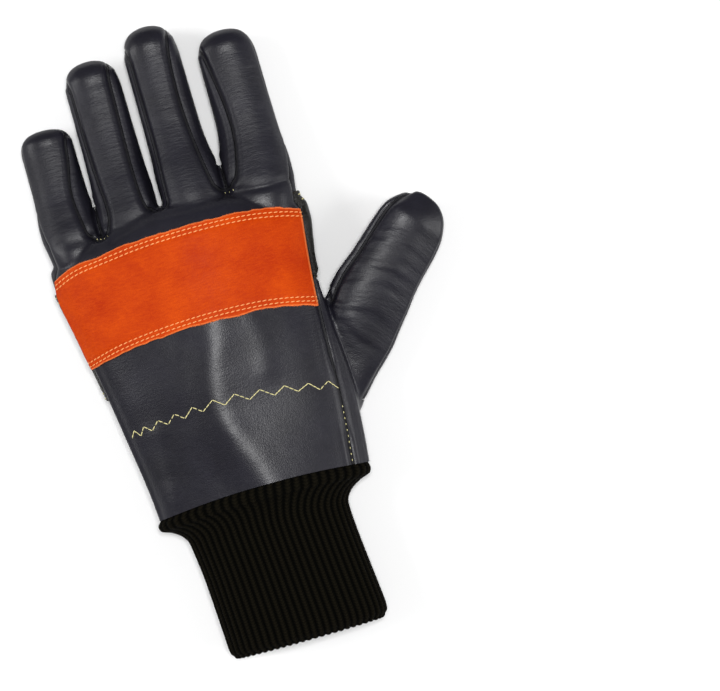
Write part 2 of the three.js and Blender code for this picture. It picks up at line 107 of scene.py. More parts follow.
def readPoints(obj):
    return readFrom(obj.data.vertices, "co").astype(float) / mm


def readNormals(obj):
    return readFrom(obj.data.vertex_normals, "vector").astype(float)


def readEdges(obj):
    return readFrom(obj.data.edges, "vertices", 2, np.int32)


def writePoints(obj, points):
    obj.data.vertices.foreach_set("co", (points * mm).astype(np.float32).ravel())
    obj.data.update()


def writeAttribute(obj, name, values):
    kind, field = ("FLOAT_VECTOR", "vector") if values.ndim == 2 else ("FLOAT", "value")
    attribute = obj.data.attributes.new(name, kind, "POINT")
    attribute.data.foreach_set(field, values.astype(np.float32).ravel())


def applied(obj, kind, **settings):
    modifier = obj.modifiers.new(kind.lower(), kind)
    for key, value in settings.items():
        setattr(modifier, key, value)
    selectOnly(obj)
    bpy.ops.object.modifier_apply(modifier=modifier.name)
    return obj


def copyOf(obj, name):
    twin = obj.copy()
    twin.data = obj.data.copy()
    twin.name = name
    twin.data.name = name
    bpy.context.collection.objects.link(twin)
    return twin


def discard(*objects):
    for obj in objects:
        bpy.data.objects.remove(obj, do_unlink=True)


def cut(obj, tool, operation):
    applied(obj, "BOOLEAN", operation=operation, object=tool, solver="MANIFOLD")
    discard(tool)
    return obj


def throughRows(rows, places):    # smooth values between the rows of a table, with no overshoot
    rows = np.array(rows, dtype=float)
    step = rows[1:] - rows[:-1]
    slope = np.zeros_like(rows)
    both = step[:-1] * step[1:]
    total = step[:-1] + step[1:]
    slope[1:-1] = np.where(both > 0, 2 * both / np.where(total == 0, 1, total), 0)
    slope[0], slope[-1] = step[0], step[-1]
    first = np.clip(np.floor(places).astype(int), 0, len(rows) - 2)
    t = (places - first)[:, None]
    a, b = rows[first], rows[first + 1]
    ma, mb = slope[first], slope[first + 1]
    return (a * (2 * t**3 - 3 * t**2 + 1) + ma * (t**3 - 2 * t**2 + t)
            + b * (3 * t**2 - 2 * t**3) + mb * (t**3 - t**2))


def lumps(p):    # a smooth random field from -1 to 1
    cell = np.floor(p).astype(np.int64)
    t = p - cell
    t = t * t * t * (t * (6 * t - 15) + 10)
    value = np.zeros(len(p))
    for corner in range(8):
        offset = np.array([(corner >> axis) & 1 for axis in range(3)])
        n = (cell + offset) @ np.array([374761393, 668265263, 1274126177])
        n = n & 0xFFFFFFFF
        n = ((n ^ (n >> 13)) * 1274126177) & 0xFFFFFFFF
        share = np.prod(np.where(offset == 1, t, 1 - t), axis=1)
        value += share * (((n ^ (n >> 16)) & 0xFFFF) / 32767.5 - 1)
    return value


def ramp(value, low, high):
    t = np.clip((value - low) / (high - low), 0, 1)
    return t * t * (3 - 2 * t)


hand = {
    "length": 136.5, "height": 38, "hemArch": 3.5, "knuckleArch": 13, "width": 116.6,
    "leather": 1.6, "floor": 1.7, "gap": 0.28, "squareness": 2.5, "fingerSquareness": 2.25,
    "voxel": 0.65, "seamHeight": 19, "fingerSeamHeight": 10.66,
    "sag": 0.04,    # how far below its middle a section is widest, as a share of its height
}
handWidth, handLength = hand["width"], hand["length"]
hemY = -0.72 * handLength
palmLength = handLength - hand["knuckleArch"]
littleEdge = -0.545 * handWidth

# along, left, right, top, hem, knuckle
handRows = [
    (-0.09, -0.405, 0.428, 0.93, 1, 0),
    (0.0, -0.41, 0.434, 0.94, 1, 0),
    (0.112, -0.419, 0.446, 0.95, 0.6, 0),
    (0.292, -0.443, 0.457, 0.97, 0, 0),
    (0.472, -0.468, 0.45, 1.0, 0, 0),
    (0.629, -0.495, 0.436, 1.0, 0, 0),
    (0.742, -0.516, 0.434, 0.98, 0, 0.15),
    (0.843, -0.538, 0.448, 0.95, 0, 0.4),
    (0.921, -0.552, 0.462, 0.88, 0, 0.65),
    (0.966, -0.553, 0.462, 0.77, 0, 0.85),
    (0.989, -0.545, 0.455, 0.64, 0, 0.95),
    (1.0, -0.52, 0.43, 0.4, 0, 1),
]
# along, width, height, raised, lift
fingerRows = [
    (-0.3, 0.88, 1.44, 1, 0),
    (-0.14, 0.97, 1.4, 1, 0),
    (-0.02, 1.05, 1.33, 0, 0),
    (0.12, 1.06, 1.22, 0, 0),
    (0.3, 1.01, 1.1, 0, 0),
    (0.56, 0.98, 1.02, 0, 0),
    (0.81, 0.97, 0.97, 0, 0.01),
    (0.915, 0.87, 0.86, 0, 0.06),
    (0.968, 0.66, 0.66, 0, 0.17),
    (0.99, 0.42, 0.44, 0, 0.28),
    (1.0, 0.2, 0.24, 0, 0.38),
]
# across, along, width, height, raised, lift
thumbRows = [
    (0.0, 0.0, 0.5, 0.55, 1, 0),
    (0.16, 0.245, 0.82, 0.78, 1, 0),
    (0.313, 0.439, 1.06, 0.92, 0, 0),
    (0.451, 0.582, 1.09, 0.98, 0, 0),
    (0.61, 0.707, 1.0, 1.0, 0, 0),
    (0.763, 0.821, 0.97, 0.98, 0, 0),
    (0.85, 0.887, 0.92, 0.92, 0, 0.03),
    (0.916, 0.935, 0.78, 0.78, 0, 0.1),
    (0.967, 0.975, 0.55, 0.55, 0, 0.2),
    (0.99, 0.993, 0.36, 0.36, 0, 0.3),
    (1.0, 1.0, 0.18, 0.2, 0, 0.38),
]
thumb = {
    "root": np.array([0.343 * handWidth, 0.147 * handLength + hemY]),
    "reach": np.array([68.8, 87.7]), "width": 34, "height": 25.5, "seamHeight": 12, "lean": 0.13,
}
# along from the finger's crotch, and the seam's place left and right as shares of half the width
fingers = [
    {"name": "little", "length": 48, "width": 24.8, "height": 19, "gap": 2.4,
     "flare": (0, 1.3), "flareEnd": 0.14, "seam": [
        (-0.08, -1.3, 0.66), (0.04, -1.3, 0.6), (0.22, -1.3, 0.48), (0.4, -1.3, 0.47),
        (0.66, -1.3, 0.7), (0.84, -1.3, 0.76), (0.97, -1.3, 1.0)]},
    {"name": "ring", "length": 72.3, "width": 26, "height": 20.5, "gap": 3.6,
     "flare": (1.3, 0), "flareEnd": 0.12, "seam": [
        (0.0, -0.66, 0.72), (0.09, -0.64, 0.62), (0.24, -0.73, 0.58), (0.46, -0.8, 0.59),
        (0.7, -0.8, 0.63), (0.88, -0.8, 0.66), (0.98, -1.1, 0.8)]},
    {"name": "middle", "length": 80.3, "width": 25.8, "height": 21, "gap": 6.4,
     "flare": (0, 2.3), "flareEnd": 0.4, "seam": [
        (0.03, -0.84, 0.9), (0.12, -0.82, 0.8), (0.3, -0.79, 0.64), (0.5, -0.8, 0.54),
        (0.68, -0.81, 0.55), (0.86, -0.81, 0.66), (0.98, -1.1, 0.85)]},
    {"name": "index", "length": 69.5, "width": 27.2, "height": 20.5, "gap": 0,
     "flare": (3.4, 0), "flareEnd": 0.42, "seam": [
        (0.04, -0.82, 1.3), (0.12, -0.67, 1.3), (0.3, -0.5, 1.3), (0.5, -0.52, 1.3),
        (0.72, -0.68, 1.3), (0.88, -0.8, 1.3), (0.97, -1.05, 1.3)]},
]
edge = littleEdge
for finger in fingers:
    finger["centre"] = edge + finger["width"] / 2
    edge += finger["width"] + finger["gap"]
crotchY = hemY + handLength


def power(value, exponent):
    return np.sign(value) * np.abs(value) ** exponent


def loft(name, sections, segments, squareness):
    # sections: centre x, y, z, across x, across y, half width, half height, floor, bow
    rings = len(sections) + 1
    obj = added(bpy.ops.mesh.primitive_uv_sphere_add, segments=segments, ring_count=rings, radius=1)
    obj.name = name
    unit = readPoints(obj) * mm
    turn = np.arctan2(unit[:, 1], unit[:, 0])
    ring = np.rint(np.arccos(np.clip(unit[:, 2], -1, 1)) / math.pi * rings).astype(int)
    pole = (ring == 0) | (ring == rings)
    s = sections[np.clip(ring - 1, 0, rings - 2)]
    wide = np.where(pole, 0, power(np.cos(turn), 2 / squareness))
    high = np.where(pole, 0, power(np.sin(turn), 2 / squareness))
    writePoints(obj, columns(
        s[:, 0] + s[:, 3] * wide * s[:, 5],
        s[:, 1] + s[:, 4] * wide * s[:, 5] + s[:, 8] * (1 - wide**2),
        np.maximum(s[:, 7], s[:, 2] + high * s[:, 6])))
    return obj


def evenRows(rows, count):
    return throughRows(rows, np.linspace(0, len(rows) - 1, count))


def handSections(grow):
    along, left, right, top, hem, knuckle = evenRows(handRows, 120).T
    floor = hand["floor"] - grow
    crown = hand["floor"] + (hand["height"] - hand["floor"]) * top + grow
    sag = hand["sag"] * hand["height"]
    return columns(
        (left + right) / 2 * handWidth, hemY + along * palmLength + knuckle * grow,
        (crown + floor - sag) / 2, 1, 0,
        (right - left) / 2 * handWidth + grow, (crown - floor + sag) / 2, floor,
        hem * hand["hemArch"] + knuckle * hand["knuckleArch"])


least = 0.4    # the smallest half width or half height of a section


def upright(size, height, raised, lift, grow):    # a section's middle, half height and floor
    raised = raised * (hand["floor"] + 0.1)
    low = raised - grow + lift * size
    halfHigh = np.maximum(least, (height * size - raised) / 2 + grow)
    sag = hand["sag"] * size * (1 - ramp(lift, 0, 0.05))
    return low + halfHigh - sag, halfHigh, raised - grow


def fingerSections(finger, grow):
    along, width, height, raised, lift = evenRows(fingerRows, 100).T
    fade = 1 - ramp(along, 0.0, finger["flareEnd"])
    left, right = fade * finger["flare"][0], fade * finger["flare"][1]
    middle, halfHigh, floor = upright(finger["height"], height, raised, lift, grow)
    reach = np.where(along > 0, finger["length"] + grow, finger["length"])
    halfWide = np.maximum(least, width * finger["width"] / 2 + (left + right) / 2 + grow)
    return columns(finger["centre"] + (right - left) / 2, crotchY + along * reach, middle,
                   1, 0, halfWide, halfHigh, floor, 0)


def thumbAxis(count):
    rows = evenRows(thumbRows, count)
    line = thumb["root"] + rows[:, :2] * thumb["reach"]
    return rows, line, unitLength(np.gradient(line, axis=0))


def thumbSections(grow):
    rows, line, heading = thumbAxis(120)
    width, height, raised, lift = rows[:, 2:].T
    middle, halfHigh, floor = upright(thumb["height"], height, raised, lift, grow)
    line = line + heading * (ramp(lift, 0, 0.1) * grow)[:, None]
    halfWide = np.maximum(least, width * thumb["width"] / 2 + grow)
    return columns(line[:, 0], line[:, 1], middle, heading[:, 1], -heading[:, 0],
                   halfWide, halfHigh, floor, 0)


def thumbPlace(p):    # along and across the thumb, from its root
    toRoot = p[:, :2] - thumb["root"]
    direction = thumb["reach"] / np.linalg.norm(thumb["reach"])
    return toRoot @ direction, toRoot @ np.array([direction[1], -direction[0]])


def leanThumb(obj):    # its back is highest on the side towards the fingers
    p = readPoints(obj)
    u, v = thumbPlace(p)
    share = np.clip(v / (thumb["width"] / 2), -1, 1) * ramp(u, 20, 50)
    p[:, 2] *= 1 - thumb["lean"] * share * ramp(p[:, 2], 0, 10)
    writePoints(obj, p)
    return obj


def gloveForm(name, grow, voxel, smoothing):
    square = hand["fingerSquareness"]
    parts = [loft("hand", handSections(grow), 96, hand["squareness"]),
             leanThumb(loft("thumb", thumbSections(grow), 64, square))]
    parts += [loft(f["name"], fingerSections(f, grow), 64, square) for f in fingers]
    selectOnly(*parts)
    bpy.ops.object.join()
    form = bpy.context.object
    form.name = name
    applied(form, "REMESH", mode="VOXEL", voxel_size=voxel * mm)
    applied(form, "SMOOTH", factor=0.5, iterations=smoothing)
    # below, the flat places and the roots of the fingers flow into each other
    p = readPoints(form)
    soft = 0.7 * (1 - ramp(p[:, 2], 3, 8))
    roots = (1 - ramp(p[:, 2], 8, 12)) * ramp(p[:, 1], 6, 14) * (1 - ramp(p[:, 1], 42, 50))
    heel = 1 - ramp(fromSpot(p, 50, -70), 13, 25)
    roots = np.maximum(roots, heel * (1 - ramp(p[:, 2], 14, 22)))
    weights = np.maximum(soft, roots)
    group = form.vertex_groups.new(name="below")
    for level in range(1, 11):
        chosen = np.nonzero(np.rint(weights * 10) == level)[0]
        group.add(chosen.tolist(), level / 10, "REPLACE")
    rounds = int(80 * (0.62 / voxel) ** 2) + 4    # a coarser form needs fewer
    applied(form, "SMOOTH", factor=0.5, iterations=rounds, vertex_group="below")
    p = readPoints(form)
    p[:, 2] += (0.25 + 0.25 * lumps(p * [0.07, 0.05, 0.02] + 3)) * (1 - ramp(p[:, 2], 1, 5))
    writePoints(form, p)
    return form


def smoothLine(line, rounds=2):    # cuts the corners of a line, keeping its ends
    line = np.array(line, dtype=float)
    for _ in range(rounds):
        a, b = line[:-1], line[1:]
        middle = columns(0.75 * a + 0.25 * b, 0.25 * a + 0.75 * b).reshape(-1, 2)
        line = np.vstack([line[:1], middle[1:-1], line[-1:]])
    return line


def handEnd(x):
    left, right = handRows[-1][1] * handWidth, handRows[-1][2] * handWidth
    share = (2 * x - left - right) / (right - left)
    return crotchY - hand["knuckleArch"] * share**2


def handRight(along):
    table = np.array(handRows)
    return np.interp(along, table[:, 0], table[:, 2]) * handWidth


thumbSideSeam = [(-0.09, 0.062), (0.056, 0.062), (0.28, 0.056), (0.472, 0.043),
                 (0.652, 0.018), (0.786, 0.01), (0.966, 0.008)]    # along, inset
crotchLoops = [(0.115, 0.13), (0.092, 0.16), (-0.075, 0.14)]    # depth, half width
farOut, farAlong = 130, 400    # beyond the glove on plan
pastTip = 4
through = (-60, 80)    # heights below and above the whole glove, for cutting tools
allHeights = (-40, 90)


def seamSpots(finger, side):    # side 1 is the finger's left, and 2 its right
    return [(finger["centre"] + row[side] * finger["width"] / 2, crotchY + row[0] * finger["length"])
            for row in finger["seam"]]


def gapMiddle(i):    # between a finger and the next one
    left, right = fingers[i], fingers[i + 1]
    return (left["centre"] + left["width"] / 2 + right["centre"] - right["width"] / 2) / 2


def tipLine(finger):
    return crotchY + finger["length"] + pastTip


def backOutline():
    side = smoothLine([(handRight(a) - inset * handWidth, hemY + a * palmLength)
                       for a, inset in thumbSideSeam])
    beside = fingers[3]["centre"] + fingers[3]["width"]
    outline = [(-farOut, side[0][1]), *side, (beside, side[-1][1] + 0.6),
               (beside, tipLine(fingers[3]))]
    for i in (3, 2, 1):
        finger, other = fingers[i], fingers[i - 1]
        chain = seamSpots(finger, 1)[::-1]
        outline += [(chain[0][0], tipLine(finger))]
        depth, half = [v * fingers[1]["width"] for v in crotchLoops[i - 1]]
        middle = gapMiddle(i - 1)
        low = handEnd(middle) - depth
        chain += [(middle + s * half, low + (1 - math.sqrt(1 - s * s)) * half)
                  for s in (0.95, 0.6, 0, -0.6, -0.95)]
        chain += seamSpots(other, 2)
        outline += [tuple(p) for p in smoothLine(chain)] + [(chain[-1][0], tipLine(other))]
    return np.array(outline + [(-farOut, tipLine(fingers[0]))])


def fingerOutline():    # the hide of the ring and middle fingers' fronts
    left, right = gapMiddle(0), gapMiddle(2)
    return np.array([(left, handEnd(left) - 7.4), (right, handEnd(right) - 5.5),
                     (right, 200), (left, 200)])


def thumbOutlines():
    rows, line, heading = thumbAxis(160)
    first, bend, last = 39, 52, 156    # of those rows, at the thumb's crotch, past it and at its tip
    some = slice(first, last)
    tipward = np.clip((np.arange(first, last) - bend) / (last - 1 - bend), 0, 1)
    out = rows[some, 2] * thumb["width"] / 2 * (1 - 0.16 + 0.5 * tipward**6)
    side = columns(-heading[some, 1], heading[some, 0])
    inner = (line[some] + side * out[:, None])[::6]
    startY = hemY + 0.64 * handLength
    upper = [(-25, -140), (2 * farOut, -140), (2 * farOut, 100), inner[-1] + [8, 34],
             *inner[::-1], (handRight(0.67) + 3.4, startY), (-25, startY)]
    lower = [(0.6, 0.2), (0.405, 0.2), (0.31, 0.148), (0.257, 0.084), (0.245, 0.03),
             (0.245, -0.1), (0.6, -0.1)]
    return np.array(upper), np.array([(a * handWidth, hemY + b * handLength) for a, b in lower])


def fromLine(p, starts, stops):    # squared distance on plan to the nearest of some straight pieces
    x, y = p[:, 0], p[:, 1]
    best = np.full(len(p), 1e9)
    for (ax, ay), (bx, by) in zip(starts, stops):
        dx, dy = bx - ax, by - ay
        t = np.clip(((x - ax) * dx + (y - ay) * dy) / max(1e-9, dx * dx + dy * dy), 0, 1)
        best = np.minimum(best, (x - ax - t * dx) ** 2 + (y - ay - t * dy) ** 2)
    return best


def insideDistance(p, outline):    # distance to the outline on plan, positive inside
    x, y = p[:, 0], p[:, 1]
    after = np.roll(outline, -1, axis=0)
    inside = np.zeros(len(p), dtype=bool)
    for (ax, ay), (bx, by) in zip(outline, after):
        if ay != by:
            inside ^= ((ay > y) != (by > y)) & (x < (bx - ax) * (y - ay) / (by - ay) + ax)
    return np.where(inside, 1, -1) * np.sqrt(fromLine(p, outline, after))


def grown(outline, distance):
    before, after = np.roll(outline, 1, axis=0), np.roll(outline, -1, axis=0)

    def normal(a, b):
        d = unitLength(b - a)
        return columns(d[:, 1], -d[:, 0])

    first = normal(before, outline)
    mean = unitLength(first + normal(outline, after))
    return outline + mean * (distance / np.maximum(0.5, (mean * first).sum(axis=1)))[:, None]


def twoSlots(obj):    # for the hide's face and for its cut edges
    obj.data.materials.append(None)
    obj.data.materials.append(None)


def prism(name, outline, low, high):
    obj = added(bpy.ops.mesh.primitive_circle_add, vertices=len(outline), radius=1, fill_type="NGON")
    obj.name = name
    twoSlots(obj)
    writePoints(obj, columns(outline[:, 0], outline[:, 1], low))
    switchMode("EDIT")
    bpy.ops.mesh.select_all(action="SELECT")
    bpy.ops.mesh.extrude_region_move(TRANSFORM_OT_translate={"value": (0, 0, (high - low) * mm)})
    turnFacesOut()
    for face in obj.data.polygons:
        face.material_index = 1
    return obj


def allAbove(name, line):    # everything above a line of (y, z) points, right across the glove
    line = np.array(line + [(farAlong, allHeights[1]), (-farAlong, allHeights[1])])
    obj = prism(name, line, -farOut * 2, farOut * 2)
    writePoints(obj, readPoints(obj)[:, [2, 0, 1]])
    return obj


seamTop = [(-farAlong, hand["seamHeight"]), (hemY + 0.97 * handLength, hand["seamHeight"]),
           (hemY + 1.1 * handLength, hand["fingerSeamHeight"]), (farAlong, hand["fingerSeamHeight"])]
backPlan = backOutline()
fingerPlan = fingerOutline()
thumbPlan, thumbHemPlan = thumbOutlines()


def backCutter(grow):
    tool = prism("backTool", grown(backPlan, grow), *through)
    return cut(tool, allAbove("profileTool", [(y, z - grow) for y, z in seamTop]), "INTERSECT")


def thumbCutter(grow):
    split = thumb["seamHeight"]
    tool = prism("thumbTool", grown(thumbPlan, grow), split - grow, through[1])
    return cut(tool, prism("hemTool", grown(thumbHemPlan, grow), through[0], split + 1), "UNION")


def seamFields(p):
    z, seamZ = p[:, 2], np.interp(p[:, 1], *np.array(seamTop).T)
    back = np.minimum(insideDistance(p, backPlan), z - seamZ)
    fingerFront = insideDistance(p, fingerPlan)
    upper = np.minimum(insideDistance(p, thumbPlan), z - thumb["seamHeight"])
    lower = np.minimum(insideDistance(p, thumbHemPlan), thumb["seamHeight"] + 1 - z)
    return back, np.maximum(upper, lower), fingerFront


def crossings(points, edges, field, allowed):
    a, b = edges[:, 0], edges[:, 1]
    hit = ((field[a] > 0) != (field[b] > 0)) & allowed[a] & allowed[b]
    a, b = a[hit], b[hit]
    t = (field[a] / (field[a] - field[b]))[:, None]
    return points[a] * (1 - t) + points[b] * t


def distanceTo(points, targets, reach):
    tree = KDTree(len(targets))
    for i, target in enumerate(targets):
        tree.insert(target, i)
    tree.balance()
    return np.array([min(reach, tree.find(p)[2]) for p in points])


folds = [    # height, half width, and the line that the fold follows on the back of the hand
    (0.85, 7.5, [(1, -20), (-6, -44), (-7.5, -58), (-3.75, -72), (1.25, -82), (6, -98)]),
    (4.0, 22, [(2, 44), (1, -20), (-6, -44), (-7.5, -58), (-3.75, -72), (1.25, -82), (6, -98)]),
    (-0.4, 6.0, [(-16, -24), (-22, -44), (-23, -60), (-19, -76), (-13, -92)]),
    (0.3, 5.0, [(18, -22), (20, -34), (18, -46)]),
    (0.7, 6.0, [(-37, -62), (-38, -78), (-40, -98)]),
    (-0.5, 3.0, [(-56, 33), (-36, 33.5), (-12, 36), (8, 36), (30, 35), (50, 32)]),
    (-0.55, 1.5, [(25, 35.5), (33, 33.5), (43, 33), (52, 34)]),
    (-0.5, 1.6, [(-10, 34), (0, 32.5), (9, 32), (18, 33.5)]),
    (-0.45, 1.6, [(-33, 29), (-26, 30.5), (-19, 32.5)]),
]
backDrop = 2.5    # the hide lies this much lower beside the main fold
wideFold = 20
wrinkle = {"finger": 0.14, "thumb": 0.27, "fan": 0.5}    # how deep they are
thumbCrotch = (50, -22)


def foldHeight(p):
    total = -backDrop * (1 - ramp(p[:, 1], 5, 40))
    for height, half, line in folds:
        line = smoothLine(line)
        if half < wideFold:    # no narrow fold is even along its length
            height = height * (1 + 0.4 * lumps(columns(p[:, 0] * 0.02, p[:, 1] * 0.09, half)))
        total += height * np.exp(-fromLine(p, line[:-1], line[1:]) / half**2)
    return total


def liftFolds(obj):
    p, n = readPoints(obj), readNormals(obj)
    p[:, 2] += foldHeight(p) * ramp(n[:, 2], 0.1, 0.7) * ramp(p[:, 2], 14, 22)
    writePoints(obj, p)


def besideAxis(p, finger):
    return np.abs(p[:, 0] - finger["centre"]) < finger["width"] * 0.62


def onFingers(p):
    on = np.zeros(len(p))
    for finger in fingers:
        along = (p[:, 1] - crotchY) / finger["length"]
        share = ramp(along, -0.22, 0.02) * (1 - ramp(along, 0.7, 0.95))
        on = np.maximum(on, besideAxis(p, finger) * share)
    return on


def onThumb(p):
    u = thumbPlace(p)[0]
    return ramp(p[:, 0], 51, 56) * ramp(u, 24, 40) * (1 - ramp(u, 88, 104))


def bowed(u, v):    # the thumb's wrinkles bow towards its root
    return u + 0.014 * (v + 4) ** 2


def wrinkleDepth(p, n):
    up = ramp(n[:, 2], 0, 0.5)
    warp = lumps(p * [0.06, 0.05, 0.05])
    slow = lumps(columns(p[:, 0] * 0.06, p[:, 1] * 0.2 + warp, p[:, 2] * 0.05))
    depth = wrinkle["finger"] * onFingers(p) * up * slow
    u, v = thumbPlace(p)
    warp = lumps(columns(u * 0.05, v * 0.07, 0) + 31)
    waves = lumps(columns(bowed(u, v) * 0.3 + warp * 0.9, v * 0.05, 5))
    left = 1 - 0.75 * ramp(v, -2, 9)
    depth += onThumb(p) * up * left * wrinkle["thumb"] * waves
    spread = np.arctan2(p[:, 1] - thumbCrotch[1], p[:, 0] - thumbCrotch[0])    # folds fan out there
    reach = fromSpot(p, *thumbCrotch)
    fan = lumps(columns(spread * 3.2, reach * 0.03, 3))
    fan *= up * ramp(p[:, 0], 50, 54) * ramp(reach, 2, 7) * (1 - ramp(reach, 16, 30))
    return depth + wrinkle["fan"] * fan


def addGrain(obj):    # the run of the fine wrinkles: across, along, how strong
    p = readPoints(obj)
    u, v = thumbPlace(p)
    thumbShare, fingerShare = onThumb(p), onFingers(p)
    across = np.where(thumbShare > 0.01, v, p[:, 0])
    along = np.where(thumbShare > 0.01, bowed(u, v), p[:, 1])
    for finger in fingers:
        near = besideAxis(p, finger) & (p[:, 1] > crotchY - 12)
        along += near * (0.012 * (p[:, 0] - finger["centre"]) ** 2)
    strength = np.maximum(0.18, np.maximum(fingerShare, 0.65 * thumbShare))
    writeAttribute(obj, "grain", columns(across, along, strength))
    # painted shade: this mask is 1 at the seam lines and fades out 0.3 to 1.3 mm from them; the hide
    # material darkens the colour there and makes it rougher
    writeAttribute(obj, "seamShade", 1 - ramp(distanceTo(p, seamCut, 3), 0.3, 1.3))


# one stitch, which every row of sewing repeats
oneStitch = added(bpy.ops.mesh.primitive_uv_sphere_add, segments=6, ring_count=5, radius=1)
stitchPoints = readPoints(oneStitch) * mm
stitchFaces = [list(face.vertices) for face in oneStitch.data.polygons]
discard(oneStitch)


def treeOf(obj):
    return BVHTree.FromPolygons(readPoints(obj).tolist(), [list(f.vertices) for f in obj.data.polygons])


def rowAround(tree, line, centre, angles):    # a line on plan, followed round the hand's section
    line = line[np.argsort(line[:, 0])]
    spots = []
    for angle in angles:
        out = Vector((math.cos(angle), 0, math.sin(angle)))
        x, hit = spots[-1][0].x if spots else centre[0] + out.x * 56, None
        for _ in range(2):
            y = float(np.interp(x, line[:, 0], line[:, 1]))
            place, normal = tree.ray_cast(Vector((centre[0], y, centre[1])) + out * 150, -out, 150)[:2]
            if place is not None:
                x, hit = place.x, (place, normal)
        if hit:
            spots.append(hit)
    return spots


def rowDown(tree, line, side=1):    # a line on plan, dropped on the glove from above or from below
    spots = []
    for x, y in line:
        place, normal = tree.ray_cast(Vector((x, y, 90 * side)), Vector((0, 0, -side)))[:2]
        if place is not None:
            spots.append((place, normal))
    return spots


def pathSteps(points):    # how far along the path each point lies
    return np.concatenate([[0], np.cumsum(np.linalg.norm(np.diff(points, axis=0), axis=1))])


def spaced(spots, pitch, count=None):    # even stitches along the spots: middle, along, up
    p, n = (np.array([spot[k][:] for spot in spots]) for k in (0, 1))
    steps = pathSteps(p)
    count = count or max(1, int(steps[-1] / pitch))
    at = (np.arange(count) + 0.5) * steps[-1] / count

    def along(values, where):
        return columns(*[np.interp(where, steps, values[:, k]) for k in range(3)])

    forward = along(p, at + pitch * 0.3) - along(p, at - pitch * 0.3)
    return columns(along(p, at), unitLength(forward), unitLength(along(n, at)))


def ends(stitches, half):
    return np.vstack([stitches[:, 0] - stitches[:, 1] * half, stitches[:, 0] + stitches[:, 1] * half])


def sew(name, stitches, half, radius, lift, slant):
    middle, forward, up = stitches[:, 0], stitches[:, 1], stitches[:, 2]
    side = np.cross(up, forward)
    u = power(stitchPoints[:, 2], 0.8)
    across = stitchPoints[:, 0] * radius + u * half * slant
    high = stitchPoints[:, 1] * radius - u**4 * radius * 0.7 + lift
    points = (middle[:, None] + forward[:, None] * (u * half)[None, :, None]
              + side[:, None] * across[None, :, None] + up[:, None] * high[None, :, None])
    faces = [[v + i * len(stitchPoints) for v in face]
             for i in range(len(stitches)) for face in stitchFaces]
    mesh = bpy.data.meshes.new(name)
    mesh.from_pydata((points.reshape(-1, 3) * mm).tolist(), [], faces)
    obj = bpy.data.objects.new(name, mesh)
    bpy.context.collection.objects.link(obj)
    selectOnly(obj)
    switchMode("EDIT")
    turnFacesOut()
    return obj


seam = {"depth": 1.4, "roll": 3.3, "swell": 0.2}    # the hides roll into each seam from both sides


def seamRoll(p, away):
    near = np.clip(1 - away / seam["roll"], 0, 1)
    shallow = 1 - 0.7 * (1 - ramp(fromSpot(p, 50, -68), 10, 22))    # at the heel
    return shallow * (seam["swell"] * np.exp(-((away - seam["roll"]) / 1.4) ** 2)
                      - seam["depth"] * near**2.3)


outer = gloveForm("outer", 0, hand["voxel"], 12)
print("outer form", len(outer.data.vertices))
liftFolds(outer)
smooth = copyOf(outer, "smooth")

points, normals = readPoints(outer), readNormals(outer)
back, thumbSide, fingerFront = seamFields(points)
edges = readEdges(outer)
everywhere = np.ones(len(points), dtype=bool)


def seamLine(at):
    line = np.vstack([
        crossings(at, edges, back, everywhere),
        crossings(at, edges, thumbSide, back < 0),
        crossings(at, edges, fingerFront, (back < 0) & (thumbSide < 0)),
    ])
    return line[line[:, 1] > hemY - 4]


seamPoints = seamLine(points)
innerSeam = seamLine(points - normals * hand["leather"])
away = distanceTo(points, seamPoints, 9)
dent = seamRoll(points, away) + wrinkleDepth(points, normals) * ramp(away, 1.0, 3)
pressed = points + normals * dent[:, None]
writePoints(outer, pressed)
seamCut = seamLine(pressed)    # where the hides will part
print("seams and wrinkles pressed in", len(seamPoints))

# the zigzag row across the back
zigzag = np.array([
    (-48.75, -36.5), (-46.9, -33.5), (-44.4, -36.6), (-42.1, -32.9), (-38.75, -35.75), (-35, -32),
    (-31, -35), (-27.1, -31.25), (-22.9, -34.5), (-18.5, -30.5), (-14.25, -33.75),
    (-8.75, -29.9), (-4, -33.6), (1.25, -30), (7.1, -34.25), (12.5, -31.25), (18.25, -35.5),
    (23.5, -32.6), (28.75, -36.75), (34, -34.5), (38.25, -38.75), (42.75, -36), (46.25, -40.4),
]) - [0, 22.3]
zigzagPitch = 2.2
legTree = treeOf(outer)
zigzagStitches = []
for start, stop in zip(zigzag[:-1], zigzag[1:]):
    leg = rowDown(legTree, [start + (stop - start) * t for t in np.linspace(0, 1, 9)])
    if len(leg) > 4:
        count = max(2, round(np.hypot(*(stop - start)) / zigzagPitch))
        zigzagStitches.append(spaced(leg, zigzagPitch, count))
zigzagStitches = np.vstack(zigzagStitches)

# the dots of thread in the thumb-side seam, and at the feet of two pairs of fingers
seamStitches = []
for y in np.arange(hemY + 3, hemY + 30, 2.7):
    share = (y - hemY) / palmLength
    x = handRight(share) - np.interp(share, *np.array(thumbSideSeam).T) * handWidth
    dot = rowDown(legTree, [(x - 0.35, y - 0.5), (x - 0.3, y), (x - 0.25, y + 0.5)])
    seamStitches.append(spaced(dot, 1, 1))
for x, y in [(-39.6, 31.4), (-37.8, 30.7), (-36, 30.8), (-34.5, 31.6),
             (21.4, 35.8), (23.4, 35.4), (25.4, 35.9)]:
    seamStitches.append(spaced(rowDown(legTree, [(x, y - 0.6), (x, y), (x, y + 0.6)]), 1, 1))
seamStitches = np.vstack(seamStitches)

